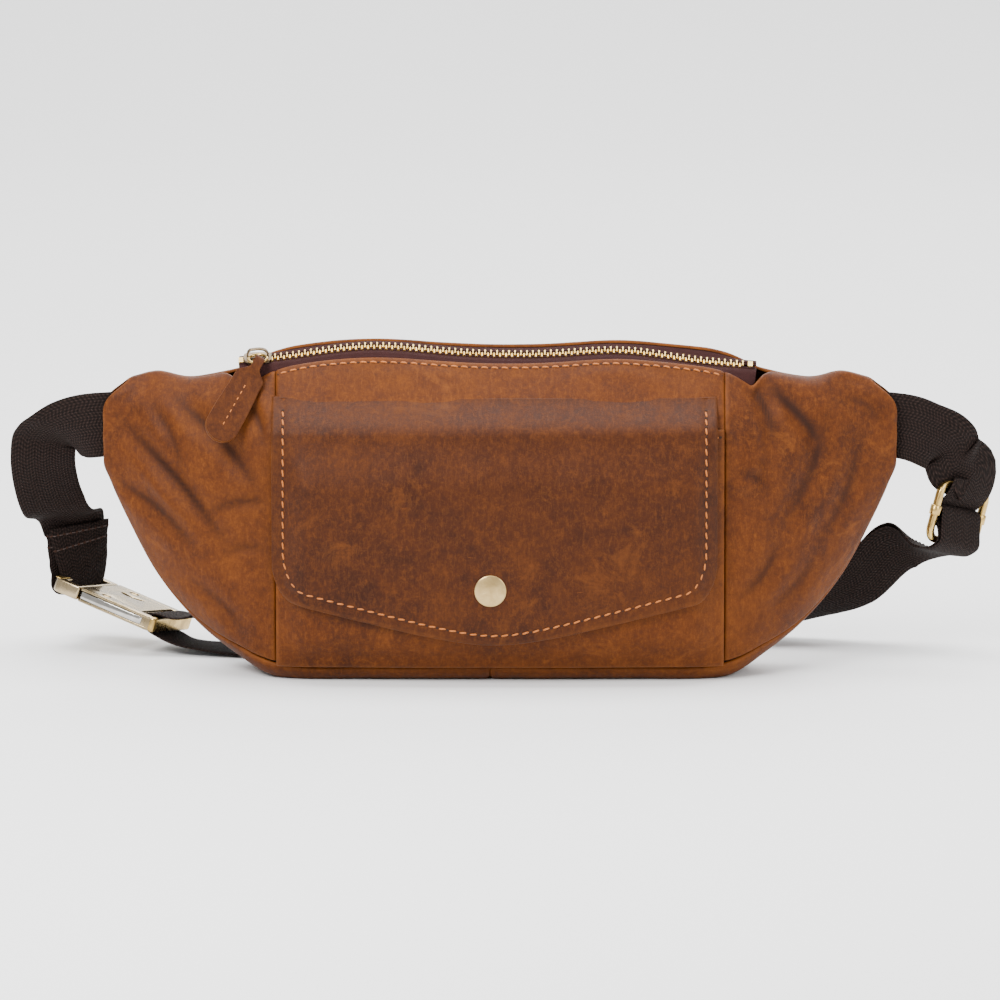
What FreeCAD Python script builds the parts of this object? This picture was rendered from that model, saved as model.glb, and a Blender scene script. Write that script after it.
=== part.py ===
"""A leather waist pack: a zipped pouch with a snap flap pocket, worn on a webbing belt.

The pouch stands on its base at z = 0, centred on x and y, with its front towards -y.
All lengths are millimetres.
"""
import FreeCAD
import Part
import math
import os

V = FreeCAD.Vector
doc = FreeCAD.newDocument("waist_pack")

# ---------------------------------------------------------------- driving dimensions
DIMENSIONS = {
    "leather": 1.8,            # thickness of the pouch's leather
    "lining_cloth": 0.6,
    "seam_x": 103.0,           # vertical seams between the front panel and the wings
    "tip_x": 183.0,            # ends of the wings
    "gusset_join": -4.6,       # seam between the bottom gusset's two halves
    "zip_left": -120.0,        # the zip's ends
    "zip_right": 118.0,
    "zip_middle": -15.0,       # top of the zip's arc
    "zip_arc": 1700.0,         # radius of the zip's arc
    "zip_height": 147.5,
    "zip_depth": -2.0,
    "zip_tilt": 18.0,
    "tooth_pitch": 2.75,
    "tooth_width": 1.2,
    "tooth_reach": 2.9,
    "tooth_tall": 2.4,
    "flap_left": -104.5,
    "flap_right": 99.5,
    "flap_top": 129.0,
    "flap_hinge_y": -31.0,
    "flap_corner": 47.0,
    "flap_point": 19.4,
    "pocket_top": 117.5,
    "pocket_room": 6.4,
    "snap_x": -4.4,
    "snap_z": 45.5,
    "cap_radius": 7.3,
    "cap_tall": 2.0,
    "webbing_width": 30.0,
    "webbing_thick": 1.5,
    "buckle_width": 40.0,
    "buckle_long": 56.0,
    "buckle_tall": 6.6,
    "buckle_wall": 1.3,
    "tongue_long": 14.4,
    "adjuster_width": 38.0,
    "adjuster_long": 30.0,
    "adjuster_rod": 3.4,
    "slider_long": 13.0,
    "slider_wide": 9.6,
    "slider_plate": 1.1,
    "slider_room": 3.2,
    "tab_thick": 3.4,
    "tab_wide": 15.0,
    "tab_long": 43.0,
}
sheet = doc.addObject("Spreadsheet::Sheet", "dims")
for row, (alias, value) in enumerate(DIMENSIONS.items(), start=1):
    sheet.set(f"A{row}", alias)
    sheet.set(f"B{row}", str(value))
    sheet.setAlias(f"B{row}", alias)
doc.recompute()


def dim(alias):
    return float(getattr(sheet, alias))


LEATHER = dim("leather")
SEAM_X = dim("seam_x")
TIP_X = dim("tip_x")
parts = []


def keep(obj, label):
    """Takes an object as one of the pack's sub-parts, under its node's name."""
    obj.Label = label
    parts.append(obj)
    return obj


# ---------------------------------------------------------------- the pouch's surface
# x from the middle: front y, ridge y, back y, bottom z, top z, squareness above, below, taper
STATIONS = [
    (0, -33, 3, 30, -0.8, 151.0, 3.2, 6.0, 0.5),
    (60, -32, 3, 29.5, -0.8, 150.6, 3.2, 6.0, 0.5),
    (103, -29.5, 3, 27, -0.5, 148.5, 3.0, 5.0, 0.45),
    (122, -24, 5, 25, 9.0, 140.5, 2.5, 3.2, 0.22),
    (140, -15, 8, 22.5, 22.5, 136.5, 2.2, 2.4, 0.10),
    (158, -4.5, 10, 20, 44.0, 135.0, 2.2, 2.2, 0.0),
    (172, 3.5, 12, 18.5, 70.0, 133.5, 2.4, 2.4, 0.0),
    (183, 7.5, 13, 18, 94.0, 131.0, 3.0, 3.0, 0.0),
]


def smooth(t):
    t = min(max(t, 0.0), 1.0)
    return t * t * (3 - 2 * t)


def station(x):
    """The cross-section's measures at x, by cubic curves through the stations."""
    x = min(abs(x), STATIONS[-1][0])
    i = next(k for k in range(len(STATIONS) - 1) if x <= STATIONS[k + 1][0])
    low, high = STATIONS[i], STATIONS[i + 1]
    before = STATIONS[i - 1] if i else [-high[0]] + list(high[1:])
    after = STATIONS[min(i + 2, len(STATIONS) - 1)]
    span = high[0] - low[0]
    t = (x - low[0]) / span
    values = []
    for k in range(1, len(low)):
        rise_low = (high[k] - before[k]) / (high[0] - before[0]) * span
        rise_high = (after[k] - low[k]) / (after[0] - low[0]) * span
        values.append(
            (2 * t**3 - 3 * t**2 + 1) * low[k]
            + (t**3 - 2 * t**2 + t) * rise_low
            + (3 * t**2 - 2 * t**3) * high[k]
            + (t**3 - t**2) * rise_high
        )
    return values


def surface(x, turn):
    """A point of the outer surface: turn is 180 at the front, 90 on top and 0 at the back."""
    front, ridge, back, bottom, top, square_up, square_down, taper = station(x)
    c, s = math.cos(math.radians(turn)), math.sin(math.radians(turn))
    n = square_up if s > 0 else square_down
    r = (abs(c) ** n + abs(s) ** n) ** (-1 / n)
    narrow = 1 - taper * smooth((r * s - 0.55) / 0.5)
    deep = (ridge - front) if c < 0 else (back - ridge)
    middle, half = (top + bottom) / 2, (top - bottom) / 2
    return V(x, ridge + deep * r * c * narrow, middle + half * r * s)


def inset(x, turn, depth):
    """A point at a depth under the outer surface, along its normal."""
    e = 0.05 if x < TIP_X - 1 else -0.05
    along = surface(x + e, turn) - surface(x, turn)
    if e < 0:
        along = along * -1
    around = surface(x, turn + 0.2) - surface(x, turn)
    normal = along.cross(around)
    normal.normalize()
    return surface(x, turn) + normal * depth


def front_y(x, z):
    """y of the front panel's outer face at a height."""
    front, ridge, back, bottom, top, square_up, square_down, taper = station(x)
    s = (z - (top + bottom) / 2) / ((top - bottom) / 2)
    n = square_up if s > 0 else square_down
    c = (1 - min(abs(s), 0.999) ** n) ** (1 / n)
    return ridge - (ridge - front) * c * (1 - taper * smooth((s - 0.55) / 0.5))


# ---------------------------------------------------------------- building blocks
def thick_sheet(outer, inner):
    """The solid between two grids of points of the same size."""
    faces, skins = [], []
    for grid in (outer, inner):
        skin = Part.BSplineSurface()
        skin.interpolate(grid)
        skins.append(skin)
        faces.append(skin.toShape())
    a, b = skins
    u0, u1, v0, v1 = a.bounds()
    p0, p1, q0, q1 = b.bounds()
    rims = [(a.uIso(u0), b.uIso(p0)), (a.uIso(u1), b.uIso(p1))]
    rims += [(a.vIso(v0), b.vIso(q0)), (a.vIso(v1), b.vIso(q1))]
    for one, other in rims:
        faces.append(Part.makeRuledSurface(one.toShape(), other.toShape()))
    shell = Part.makeShell(faces)
    shell.sewShape()
    solid = Part.makeSolid(shell)
    if solid.Volume < 0:
        solid.reverse()
    return solid


def spread(low, high, count):
    return [low + (high - low) * k / (count - 1) for k in range(count)]


def spread_to_ends(low, high, count):
    """Like spread, but closer together towards both ends."""
    middle, half = (low + high) / 2, (high - low) / 2
    return [middle + half * math.sin(a) for a in spread(-math.pi / 2, math.pi / 2, count)]


def panel(x_low, x_high, turn_from, turn_to, outer_depth, thick, across=14, around=14):
    """A panel of the pouch's surface. turn_from and turn_to are functions of x."""
    grids = []
    for depth in (outer_depth, outer_depth + thick):
        grid = []
        for x in spread(x_low, x_high, across):
            turns = spread(turn_from(x), turn_to(x), around)
            grid.append([inset(x, turn, depth) for turn in turns])
        grids.append(grid)
    return thick_sheet(*grids)


def shaped(label, shape):
    """A sub-part whose shape is made by Part's own functions."""
    obj = doc.addObject("Part::Feature", label)
    obj.Shape = shape
    return keep(obj, label)


def bound(obj, **expressions):
    for name, text in expressions.items():
        obj.setExpression(name.replace("_", "."), str(text))
    return obj


def box(name, wide, deep, tall, x=0, y=0, z=0):
    """A box with its sides and its corner's place bound to the sheet."""
    obj = doc.addObject("Part::Box", name)
    bound(obj, Length=wide, Width=deep, Height=tall)
    return bound(obj, Placement_Base_x=x, Placement_Base_y=y, Placement_Base_z=z)


def rod(name, radius, long, x=0, y=0, z=0, axis=V(0, 0, 1)):
    obj = doc.addObject("Part::Cylinder", name)
    bound(obj, Radius=radius, Height=long)
    obj.Placement.Rotation = FreeCAD.Rotation(V(0, 0, 1), axis)
    return bound(obj, Placement_Base_x=x, Placement_Base_y=y, Placement_Base_z=z)


def joined(name, *pieces):
    obj = doc.addObject("Part::MultiFuse", name)
    obj.Shapes = list(pieces)
    return obj


def cut(name, base, *tools):
    obj = doc.addObject("Part::Cut", name)
    obj.Base = base
    obj.Tool = tools[0] if len(tools) == 1 else joined(name + "_tools", *tools)
    return obj


def axes(long, across):
    """The rotation that takes local x to long and local y to across."""
    long = V(*long).normalize()
    across = V(*across)
    across = (across - long * across.dot(long)).normalize()
    up = long.cross(across)
    return FreeCAD.Rotation(long, across, up, "XYZ")


def at(place, x, y, z):
    return place.multVec(V(x, y, z))


# ---------------------------------------------------------------- leather pouch
ZIP_LEFT, ZIP_RIGHT = dim("zip_left"), dim("zip_right")
FRONT_SEAM, BACK_SEAM = 225.5, -45.5
FRONT_ZIP_EDGE, REAR_ZIP_EDGE = 125.0, 76.0


def closing(x):
    """0 along the zip, rising to 1 where the wings' top seam has closed."""
    end = -ZIP_LEFT if x < 0 else ZIP_RIGHT
    return smooth((abs(x) - end + 3) / 12)


def front_top(x):
    return FRONT_ZIP_EDGE + (91.5 - FRONT_ZIP_EDGE) * closing(x)


def rear_top(x):
    return REAR_ZIP_EDGE + (88.5 - REAR_ZIP_EDGE) * closing(x)


def front_foot(x):
    return FRONT_SEAM + 30 * smooth((abs(x) - SEAM_X) / 55)


def back_foot(x):
    return BACK_SEAM - 30 * smooth((abs(x) - SEAM_X) / 55)


def pouch():
    gap = 0.2
    seam = SEAM_X
    shaped("front_panel", panel(
        -seam + gap, seam - gap, front_foot, front_top, 0, LEATHER, 24, 28))
    shaped("left_wing", panel(
        -TIP_X, -seam - gap, front_foot, front_top, 0, LEATHER, 18))
    shaped("right_wing", panel(
        seam + gap, TIP_X, front_foot, front_top, 0, LEATHER, 18))
    shaped("back_panel", panel(
        -TIP_X, TIP_X, back_foot, rear_top, 0, LEATHER, 38, 24))
    floor = Part.makeBox(500, 200, 20, V(-250, -100, -20))
    join = dim("gusset_join")
    for side, low, high in (("left", -TIP_X, join - gap), ("right", join + gap, TIP_X)):
        strip = panel(
            low, high, lambda x: front_foot(x) + 0.9 + 1.5 * abs(x) / TIP_X,
            lambda x: 360 + back_foot(x) - 1.3 - 1.5 * abs(x) / TIP_X, 0, LEATHER, 24, 12)
        shaped("bottom_gusset_" + side, strip.cut(floor))


def lining():
    """A cloth bag inside the leather, in a front and a back half sewn along the bottom."""
    under, reach = LEATHER + 1.2, 110
    shaped("lining_front", panel(
        -reach, reach, lambda x: front_top(x) + 10, lambda x: 268.0,
        under, dim("lining_cloth"), 22, 20))
    shaped("lining_back", panel(
        -reach, reach, lambda x: rear_top(x) - 12, lambda x: -90.0,
        under, dim("lining_cloth"), 22, 20))


# ---------------------------------------------------------------- flap pocket
FLAP_LEFT, FLAP_RIGHT = dim("flap_left"), dim("flap_right")
FLAP_TOP, POCKET_TOP = dim("flap_top"), dim("pocket_top")


def flap_foot(x):
    """z of the flap's lower edge: rounded corners and a shallow rounded point."""
    middle = (FLAP_LEFT + FLAP_RIGHT) / 2
    half = (FLAP_RIGHT - FLAP_LEFT) / 2
    t = min(abs(x - middle) / half, 1.0)
    corner, point = dim("flap_corner"), dim("flap_point")
    slope = point + (corner - 6 - point) * (math.sqrt(t * t + 0.03) - 0.173) / 0.842
    near_side = max(0.0, (t - 0.9) / 0.1)
    return slope + 16 * (1 - math.sqrt(max(0.0, 1 - near_side**2)))


def pocket_y(x, z):
    """y of the pocket panel's inner face, which stands off the pouch except at its seams."""
    side = smooth((SEAM_X - abs(x)) / 15)
    foot = smooth((z - 9) / 16)
    mouth = 1.8 * smooth((z - 90) / 24)
    return front_y(x, z) - 0.6 - (dim("pocket_room") + mouth) * side * foot


def flap_inner(x, z):
    """y of the flap's inner face: straight along its hinge, then clear of the pocket."""
    over = pocket_y(x, z) - LEATHER - 0.9
    t = smooth((z - 120) / (FLAP_TOP - 120))
    return over * (1 - t) + dim("flap_hinge_y") * t


def hanging(lift, thick, margin, top):
    """One layer of the flap, at a lift over its inner face."""
    grids = []
    for depth in (lift + thick, lift):
        grid = []
        for x in spread_to_ends(FLAP_LEFT + margin, FLAP_RIGHT - margin, 29):
            foot = flap_foot(x) + margin
            rows = [top - (top - foot) * t**1.3 for t in spread(0, 1, 18)]
            grid.append([V(x, flap_inner(x, z) - depth, z) for z in rows])
        grids.append(grid)
    return thick_sheet(*grids)


def pocket():
    grids = []
    for depth in (LEATHER, 0.0):
        grid = []
        for x in spread_to_ends(-SEAM_X + 0.6, SEAM_X - 0.6, 25):
            rows = spread(9.0, POCKET_TOP, 13)
            grid.append([V(x, pocket_y(x, z) - depth, z) for z in rows])
        grids.append(grid)
    shaped("pocket_panel", thick_sheet(*grids))


def flap_fold():
    """The flap's upper edge, turned under and sewn to the front panel."""
    grids = []
    for depth in (1.6, 0.0):
        grid = []
        for x in spread(FLAP_LEFT + 2, FLAP_RIGHT - 2, 17):
            high, low = FLAP_TOP + 6.5, FLAP_TOP + 1.2
            sewn, free = front_y(x, high) - 0.5, dim("flap_hinge_y") + 1.5
            rows = spread(0.0, 1.0, 6)
            grid.append([V(x, sewn + (free - sewn) * t - depth * (1 - t),
                           high + (low - high) * (2 * t - t * t) + depth * t) for t in rows])
        grids.append(grid)
    shaped("flap_fold", thick_sheet(*grids))


LINING_THICK, OUTER_THICK, GLUE = 1.0, 1.6, 0.3


def flap():
    shaped("flap_lining", hanging(0.0, LINING_THICK, 1.0, FLAP_TOP - 12))
    shaped("flap_outer", hanging(LINING_THICK + GLUE, OUTER_THICK, 0.0, FLAP_TOP - 1.5))


def snap():
    """Cap and socket on the flap, stud and its washer on the pocket, one behind another."""
    x, z = dim("snap_x"), dim("snap_z")
    inner = flap_inner(x, z)
    face = inner - LINING_THICK - GLUE - OUTER_THICK
    back = V(0, 1, 0)

    def disc(size, low, high, bore=0.0):
        body = Part.makeCylinder(size, high - low, V(x, low, z), back)
        return body.cut(Part.makeCylinder(bore, 40, V(x, low - 1, z), back)) if bore else body

    radius, tall, rim = dim("cap_radius"), dim("cap_tall"), 0.5
    dome = tall - rim
    ball = (radius**2 + dome**2) / (2 * dome)
    crown = Part.makeSphere(ball, V(x, face - 0.1 - tall + ball, z))
    cap = crown.common(disc(radius, face - 0.1 - tall, face - 0.1))
    shaped("snap_cap", cap.fuse(disc(1.8, face - 0.2, face + 0.9)))
    for node, size in (("flap_outer", 1.9), ("flap_lining", 5.9)):
        leather = next(p for p in parts if p.Label == node)
        leather.Shape = leather.Shape.cut(disc(size, face - 10, face + 10))
    shaped("snap_socket", disc(5.6, inner - 1.15, inner - 0.1, 2.7))
    outside = pocket_y(x, z) - LEATHER
    stud = disc(4.4, outside - 0.45, outside - 0.1).fuse(disc(2.0, outside - 1.7, outside - 0.2))
    shaped("snap_stud", stud)
    inside = outside + LEATHER
    shaped("snap_stud_washer", disc(4.6, inside + 0.3, inside + 0.9, 1.0))


# ---------------------------------------------------------------- zip
ZIP_TILT = math.radians(dim("zip_tilt"))
ZIP_Y = dim("zip_depth")
ARC, ARC_X = dim("zip_arc"), dim("zip_middle")
ARC_CENTRE = V(ARC_X, ZIP_Y, dim("zip_height") - ARC)


def zip_place(x):
    """The frame of the zip's chain at x: local x along it, y to the rear, z out."""
    angle = math.asin((x - ARC_X) / ARC)
    turn = FreeCAD.Rotation(V(0, 1, 0), math.degrees(angle))
    tilt = FreeCAD.Rotation(V(1, 0, 0), math.degrees(ZIP_TILT))
    base = ARC_CENTRE + V(math.sin(angle), 0, math.cos(angle)) * ARC
    return FreeCAD.Placement(base, turn.multiply(tilt))


def teeth():
    pitch, wide, reach = dim("tooth_pitch"), dim("tooth_width"), dim("tooth_reach")
    tall = dim("tooth_tall")
    count = int((ZIP_RIGHT - ZIP_LEFT - 15) / pitch)
    for label, side, start in (("zip_teeth_front", -1, 0.0), ("zip_teeth_rear", 1, 0.5)):
        row = []
        for k in range(count):
            x = ZIP_LEFT + 10 + (k + start) * pitch
            low = -0.6 if side > 0 else -reach + 0.6
            tooth = Part.makeBox(wide, reach, tall, V(-wide / 2, low, -tall / 2))
            tooth.Placement = zip_place(x)
            row.append(tooth)
        shaped(label, Part.makeCompound(row))


def tapes():
    """Each tape is a flat strip from beside the teeth to its leather edge."""
    low, high = 2.6, 7.2
    for label, side in (("zip_tape_front", -1), ("zip_tape_rear", 1)):
        sections = []
        for x in spread(ZIP_LEFT + 2, ZIP_RIGHT - 2, 30):
            place = zip_place(x)
            corners = [at(place, 0, side * y, z)
                       for y, z in ((low, -0.25), (high, -0.25), (high, 0.25), (low, 0.25))]
            sections.append(Part.makePolygon(corners + corners[:1]))
        shaped(label, Part.makeLoft(sections, True, True))


def zip_stops():
    stops = []
    for x in (ZIP_LEFT + 1.2, ZIP_RIGHT - 3.2):
        stop = Part.makeBox(2.2, 4.8, 3.0, V(-1.1, -2.4, -1.5))
        stop.Placement = zip_place(x)
        stops.append(stop)
    shaped("zip_end_stops", Part.makeCompound(stops))


SLIDER_X = ZIP_LEFT + 9.0


def zip_slider():
    """Two plates joined by a post at the nose, with flanges beside the teeth, and a crown."""
    place = zip_place(SLIDER_X)
    top = box("slider_top", "dims.slider_long", "dims.slider_wide", "dims.slider_plate",
              "-dims.slider_long / 2", "-dims.slider_wide / 2", "dims.slider_room / 2")
    foot = box("slider_foot", "dims.slider_long", "dims.slider_wide", "dims.slider_plate",
               "-dims.slider_long / 2", "-dims.slider_wide / 2",
               "-dims.slider_room / 2 - dims.slider_plate")
    post = box("slider_post", 2.2, 2.0, "dims.slider_room", "-dims.slider_long / 2", -1,
               "-dims.slider_room / 2")
    flanges = []
    for side in (-1, 1):
        for level in (-1, 1):
            low_z = "0.9" if level > 0 else "-dims.slider_room / 2"
            y = "dims.slider_wide / 2 - 1" if side > 0 else "-dims.slider_wide / 2"
            flanges.append(box(f"slider_flange_{side + 1}_{level + 1}", "dims.slider_long", 1,
                               "dims.slider_room / 2 - 0.9", "-dims.slider_long / 2", y, low_z))
    body = joined("zip_slider_body", top, foot, post, *flanges)
    body.Placement = place
    keep(body, "zip_slider")
    bridge = box("crown_block", 10, 1.6, 4.1, -5, -0.8, "dims.slider_room / 2 + dims.slider_plate")
    hole = box("crown_hole", 8.0, 2.8, 3.4, -4.0, -1.4, "dims.slider_room / 2 + dims.slider_plate")
    crown = cut("crown_cut", bridge, hole)
    crown.Placement = place
    keep(crown, "zip_crown")


RING_HEIGHT, RING_RADIUS, RING_WIRE = 3.6, 4.2, 0.7
TAB_RUN, TAB_WIDTH = V(25, 30, 41), V(0.83, -0.05, -0.50)


def pull():
    """A wire ring through the crown and a folded leather tab hung on it."""
    place = zip_place(SLIDER_X)
    wire = Part.makeTorus(RING_RADIUS, RING_WIRE)
    middle = FreeCAD.Placement(V(0, -RING_RADIUS, RING_HEIGHT), FreeCAD.Rotation())
    wire.Placement = place.multiply(middle)
    shaped("pull_ring", wire)
    eye = at(place, 0, -2 * RING_RADIUS, RING_HEIGHT)
    half, long, thick = dim("tab_wide") / 2, dim("tab_long"), dim("tab_thick")
    top, neck, reach = -3.4, 1.4, 2.8
    shoulder = -long + 0.8 * half
    outline = [
        Part.LineSegment(V(-half, top, 0), V(-0.86 * half, shoulder, 0)),
        Part.Arc(V(-0.86 * half, shoulder, 0), V(0, -long, 0), V(0.86 * half, shoulder, 0)),
        Part.LineSegment(V(0.86 * half, shoulder, 0), V(half, top, 0)),
        Part.LineSegment(V(half, top, 0), V(-half, top, 0)),
    ]
    edges = Part.Wire([edge.toShape() for edge in outline])
    tab = Part.Face(edges).extrude(V(0, 0, thick))
    tab.translate(V(0, 0, -thick / 2))
    tab = tab.fuse(Part.makeBox(2 * neck, reach + 5, 5.2, V(-neck, -5, -2.6)))
    tab = tab.cut(Part.makeBox(2 * neck + 3, 4.6, 4.2, V(-neck - 1.5, -2.3, -2.1)))
    hang = FreeCAD.Rotation(TAB_WIDTH, TAB_RUN, TAB_WIDTH.cross(TAB_RUN), "YXZ")
    tab.Placement = FreeCAD.Placement(eye, hang)
    shaped("pull_tab", tab)


# ---------------------------------------------------------------- straps
WEB, THICK = dim("webbing_width"), dim("webbing_thick")


def ribbon(route, offset=0.0, wide=None, steps=4):
    """Webbing along hand-chosen places, each a centre and the direction of its width."""
    half = (wide or WEB) / 2
    centres = [V(*centre) for centre, _ in route]
    widths = [V(*w).normalize() for _, w in route]
    curve = Part.BSplineCurve()
    curve.interpolate(centres)
    knots = curve.getKnots()
    sections = []
    spans = len(route) - 1
    for k in range(spans * steps + 1):
        i = min(k // steps, spans - 1)
        t = k / steps - i
        u = knots[i] + (knots[i + 1] - knots[i]) * t
        centre = curve.value(u)
        run = V(*curve.tangent(u)[0])
        w = widths[i] * (1 - t) + widths[i + 1] * t
        w = (w - run * w.dot(run)).normalize()
        n = run.cross(w)
        centre = centre + n * offset
        corners = [centre + w * (a * half) + n * (b * THICK / 2)
                   for a, b in ((-1, -1), (1, -1), (1, 1), (-1, 1))]
        sections.append(Part.makePolygon(corners + corners[:1]))
    return Part.makeLoft(sections, True, True)


BUCKLE_LONG = V(47.4, -25.1, -15.9)
BUCKLE_ACROSS = V(17.0, 35.5, -5.3)
BUCKLE_END = V(-152.3, 52.7, 11.8)       # middle of the right end, half-way up
BUCKLE_TURN = axes(BUCKLE_LONG, BUCKLE_ACROSS)
BUCKLE_PLACE = FreeCAD.Placement(
    BUCKLE_END - BUCKLE_TURN.multVec(V(dim("buckle_long"), 0, 0)), BUCKLE_TURN)
ACROSS = BUCKLE_TURN.multVec(V(0, 1, 0))


def left_strap():
    """From the left wing's tip out, over a fold and down to the buckle's tongue."""
    end = at(BUCKLE_PLACE, 2.2, 0, 21)
    route = [
        ((-171, 12.6, 113.5), (0.0, 0, 1)),
        ((-183.5, 13.2, 112.8), (0.12, 0.0, 1)),
        ((-199, 17, 110), (-0.35, 0.15, 0.9)),
        ((-209, 30, 102), (-0.86, 0.25, 0.4)),
        ((-211.6, 50, 81.5), (-1, -0.05, 0.1)),
        ((-208.5, 63, 64.5), (-0.78, -0.62, 0.1)),
        ((end.x, end.y, end.z), (-ACROSS.x, -ACROSS.y, -ACROSS.z)),
    ]
    shaped("left_strap", ribbon(route))


def strap_loop():
    """The left strap's sewn end, round the tongue's bar."""
    inner, foot, reach = 2.55, 3.65, 15.0
    loop = Part.makeBox(2 * (inner + THICK), WEB, reach + foot + THICK,
                        V(-inner - THICK, -WEB / 2, -foot - THICK))
    loop = loop.cut(Part.makeBox(2 * inner, WEB, reach + foot, V(-inner, -WEB / 2, -foot)))
    loop.Placement = BUCKLE_PLACE.multiply(FreeCAD.Placement(V(2.2, 0, 0), FreeCAD.Rotation()))
    shaped("left_strap_loop", loop)


ADJUSTER_CENTRE = V(212.0, 40, 66)
ADJUSTER_DOWN = V(-7.8, -3.6, -28.8)
ADJUSTER_ACROSS = V(23.5, 28, -10)
ADJUSTER_PLACE = FreeCAD.Placement(ADJUSTER_CENTRE, axes(ADJUSTER_DOWN, ADJUSTER_ACROSS))

# the doubled run, from the adjuster behind the pouch to the buckle
RUN = [
    ((186.3, 53, 48.5), (0.55, 0.45, -0.70)),
    ((165.6, 61, 29.5), (0.48, 0.52, -0.70)),
    ((140, 68, 17.0), (0.30, 0.80, -0.52)),
    ((105, 73, 8.5), (0.12, 0.97, -0.22)),
    ((60, 75, 2.2), (0.02, 1, -0.04)),
    ((0, 68, 1.0), (-0.10, 1, 0)),
    ((-60, 56, 1.0), (-0.22, 1, 0)),
    ((-105, 45.5, 1.0), (-0.1, 1, 0)),
]


def long_strap():
    """From the right wing's tip through the adjuster, round the buckle's bar and back."""
    across = ADJUSTER_PLACE.Rotation.multVec(V(0, 1, 0))
    w = (across.x, across.y, across.z)
    level = -4.3
    above = at(ADJUSTER_PLACE, -17, 0, level)
    middle = at(ADJUSTER_PLACE, 0, 0, level)
    drop = [
        ((171, 12.6, 113.5), (0, 0, 1)),
        ((183.5, 13.2, 112.8), (-0.1, 0, 1)),
        ((198, 17, 110), (0.35, 0.3, 0.85)),
        ((210, 27, 101), (0.78, 0.55, 0.30)),
        ((above.x, above.y, above.z), w),
        ((middle.x, middle.y, middle.z), w),
    ]
    first = ribbon(drop)
    leave = at(ADJUSTER_PLACE, 5.4, 0, -0.4)
    bar_place = BUCKLE_PLACE.multiply(
        FreeCAD.Placement(V(dim("buckle_long") - 1.7, 0, 0), FreeCAD.Rotation()))
    a = (ACROSS.x, ACROSS.y, ACROSS.z)
    under = at(bar_place, 6, 0, -5.2)
    low = [((leave.x, leave.y, leave.z), w)] + RUN + [
        ((-128, 47, 1.6), (0.25, 1, -0.03)), ((under.x, under.y, under.z), a)]
    second = ribbon(low)
    over = at(bar_place, 6, 0, 5.6)
    back = at(ADJUSTER_PLACE, 8.0, 0, 6.2)
    high = [((back.x, back.y, back.z), w)]
    for (x, y, z), width in RUN:
        lift = V(1.3, 1.2, 1.9) if x > 100 else V(0, 0, 2.6)
        high.append(((x + lift.x, y + lift.y, z + lift.z), width))
    high[-1] = ((-105, 46, 14), (-0.05, 1, 0))
    high += [((-128, 51, 20), (0.25, 1, -0.03)), ((over.x, over.y, over.z), a)]
    third = ribbon(high)
    shaped("long_strap", Part.makeCompound([first, second, third]))


# ---------------------------------------------------------------- buckle
def buckle():
    """A tongue that slides out of a housing once both side levers are squeezed."""
    split = "dims.tongue_long"
    half, tall = "dims.buckle_width / 2", "dims.buckle_tall"
    low = "-dims.buckle_tall / 2"
    # tongue: a frame round the strap's slot, and a blade that goes into the housing
    frame = box("tongue_block", split, "dims.buckle_width", tall, 0, "-" + half, low)
    slot = box("tongue_slot", "dims.tongue_long - 6.4", 31.4, 20, 4.4, -15.7, -10)
    blade = box("tongue_blade", 20, 24, 2.2, "dims.tongue_long - 0.5", -12, -1.1)
    notch_a = box("tongue_notch_a", 5, 3, 10, "dims.tongue_long + 2", 10, -5)
    notch_b = box("tongue_notch_b", 5, 3, 10, "dims.tongue_long + 2", -13, -5)
    tongue = cut("tongue_cut", joined("tongue_body", frame, blade), slot, notch_a, notch_b)
    tongue.Placement = BUCKLE_PLACE
    keep(tongue, "buckle_tongue")
    # housing: two plates, an end frame round the long strap's slot
    start = "dims.tongue_long + 0.5"
    length = "dims.buckle_long - dims.tongue_long - 0.5"
    top = box("housing_top", length, "dims.buckle_width", "dims.buckle_wall", start, "-" + half,
              "dims.buckle_tall / 2 - dims.buckle_wall")
    foot = box("housing_foot", length, "dims.buckle_width", "dims.buckle_wall", start,
               "-" + half, low)
    rails = box("housing_rails", 14, 34.0, tall, "dims.buckle_long - 14", -17, low)
    end = box("housing_end", 5, "dims.buckle_width", tall, "dims.buckle_long - 5",
              "-" + half, low)
    way = box("housing_slot", 7.0, 31.4, 20, "dims.buckle_long - 10.4", -15.7, -10)
    window = rod("housing_window", 1.6, 10, 27, 9, 0)
    housing = cut("housing_cut", joined("housing_body", top, foot, rails, end), way, window)
    housing.Placement = BUCKLE_PLACE
    keep(housing, "buckle_housing")
    pins = []
    for side in (-1, 1):
        bore = rod(f"pin_bore_{side + 1}", 1.4, 20, PIVOT_X, PIVOT_Y * side, -10)
        housing.Tool.Shapes = housing.Tool.Shapes + [bore]
        pins.append(rod(f"pin_{side + 1}", 1.4, "dims.buckle_tall + 0.8", PIVOT_X,
                        PIVOT_Y * side, "-dims.buckle_tall / 2 - 0.4"))
    rivets = joined("rivet_pair", *pins)
    rivets.Placement = BUCKLE_PLACE
    keep(rivets, "buckle_pins")


PIVOT_X, PIVOT_Y = 26.0, 16.6


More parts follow.
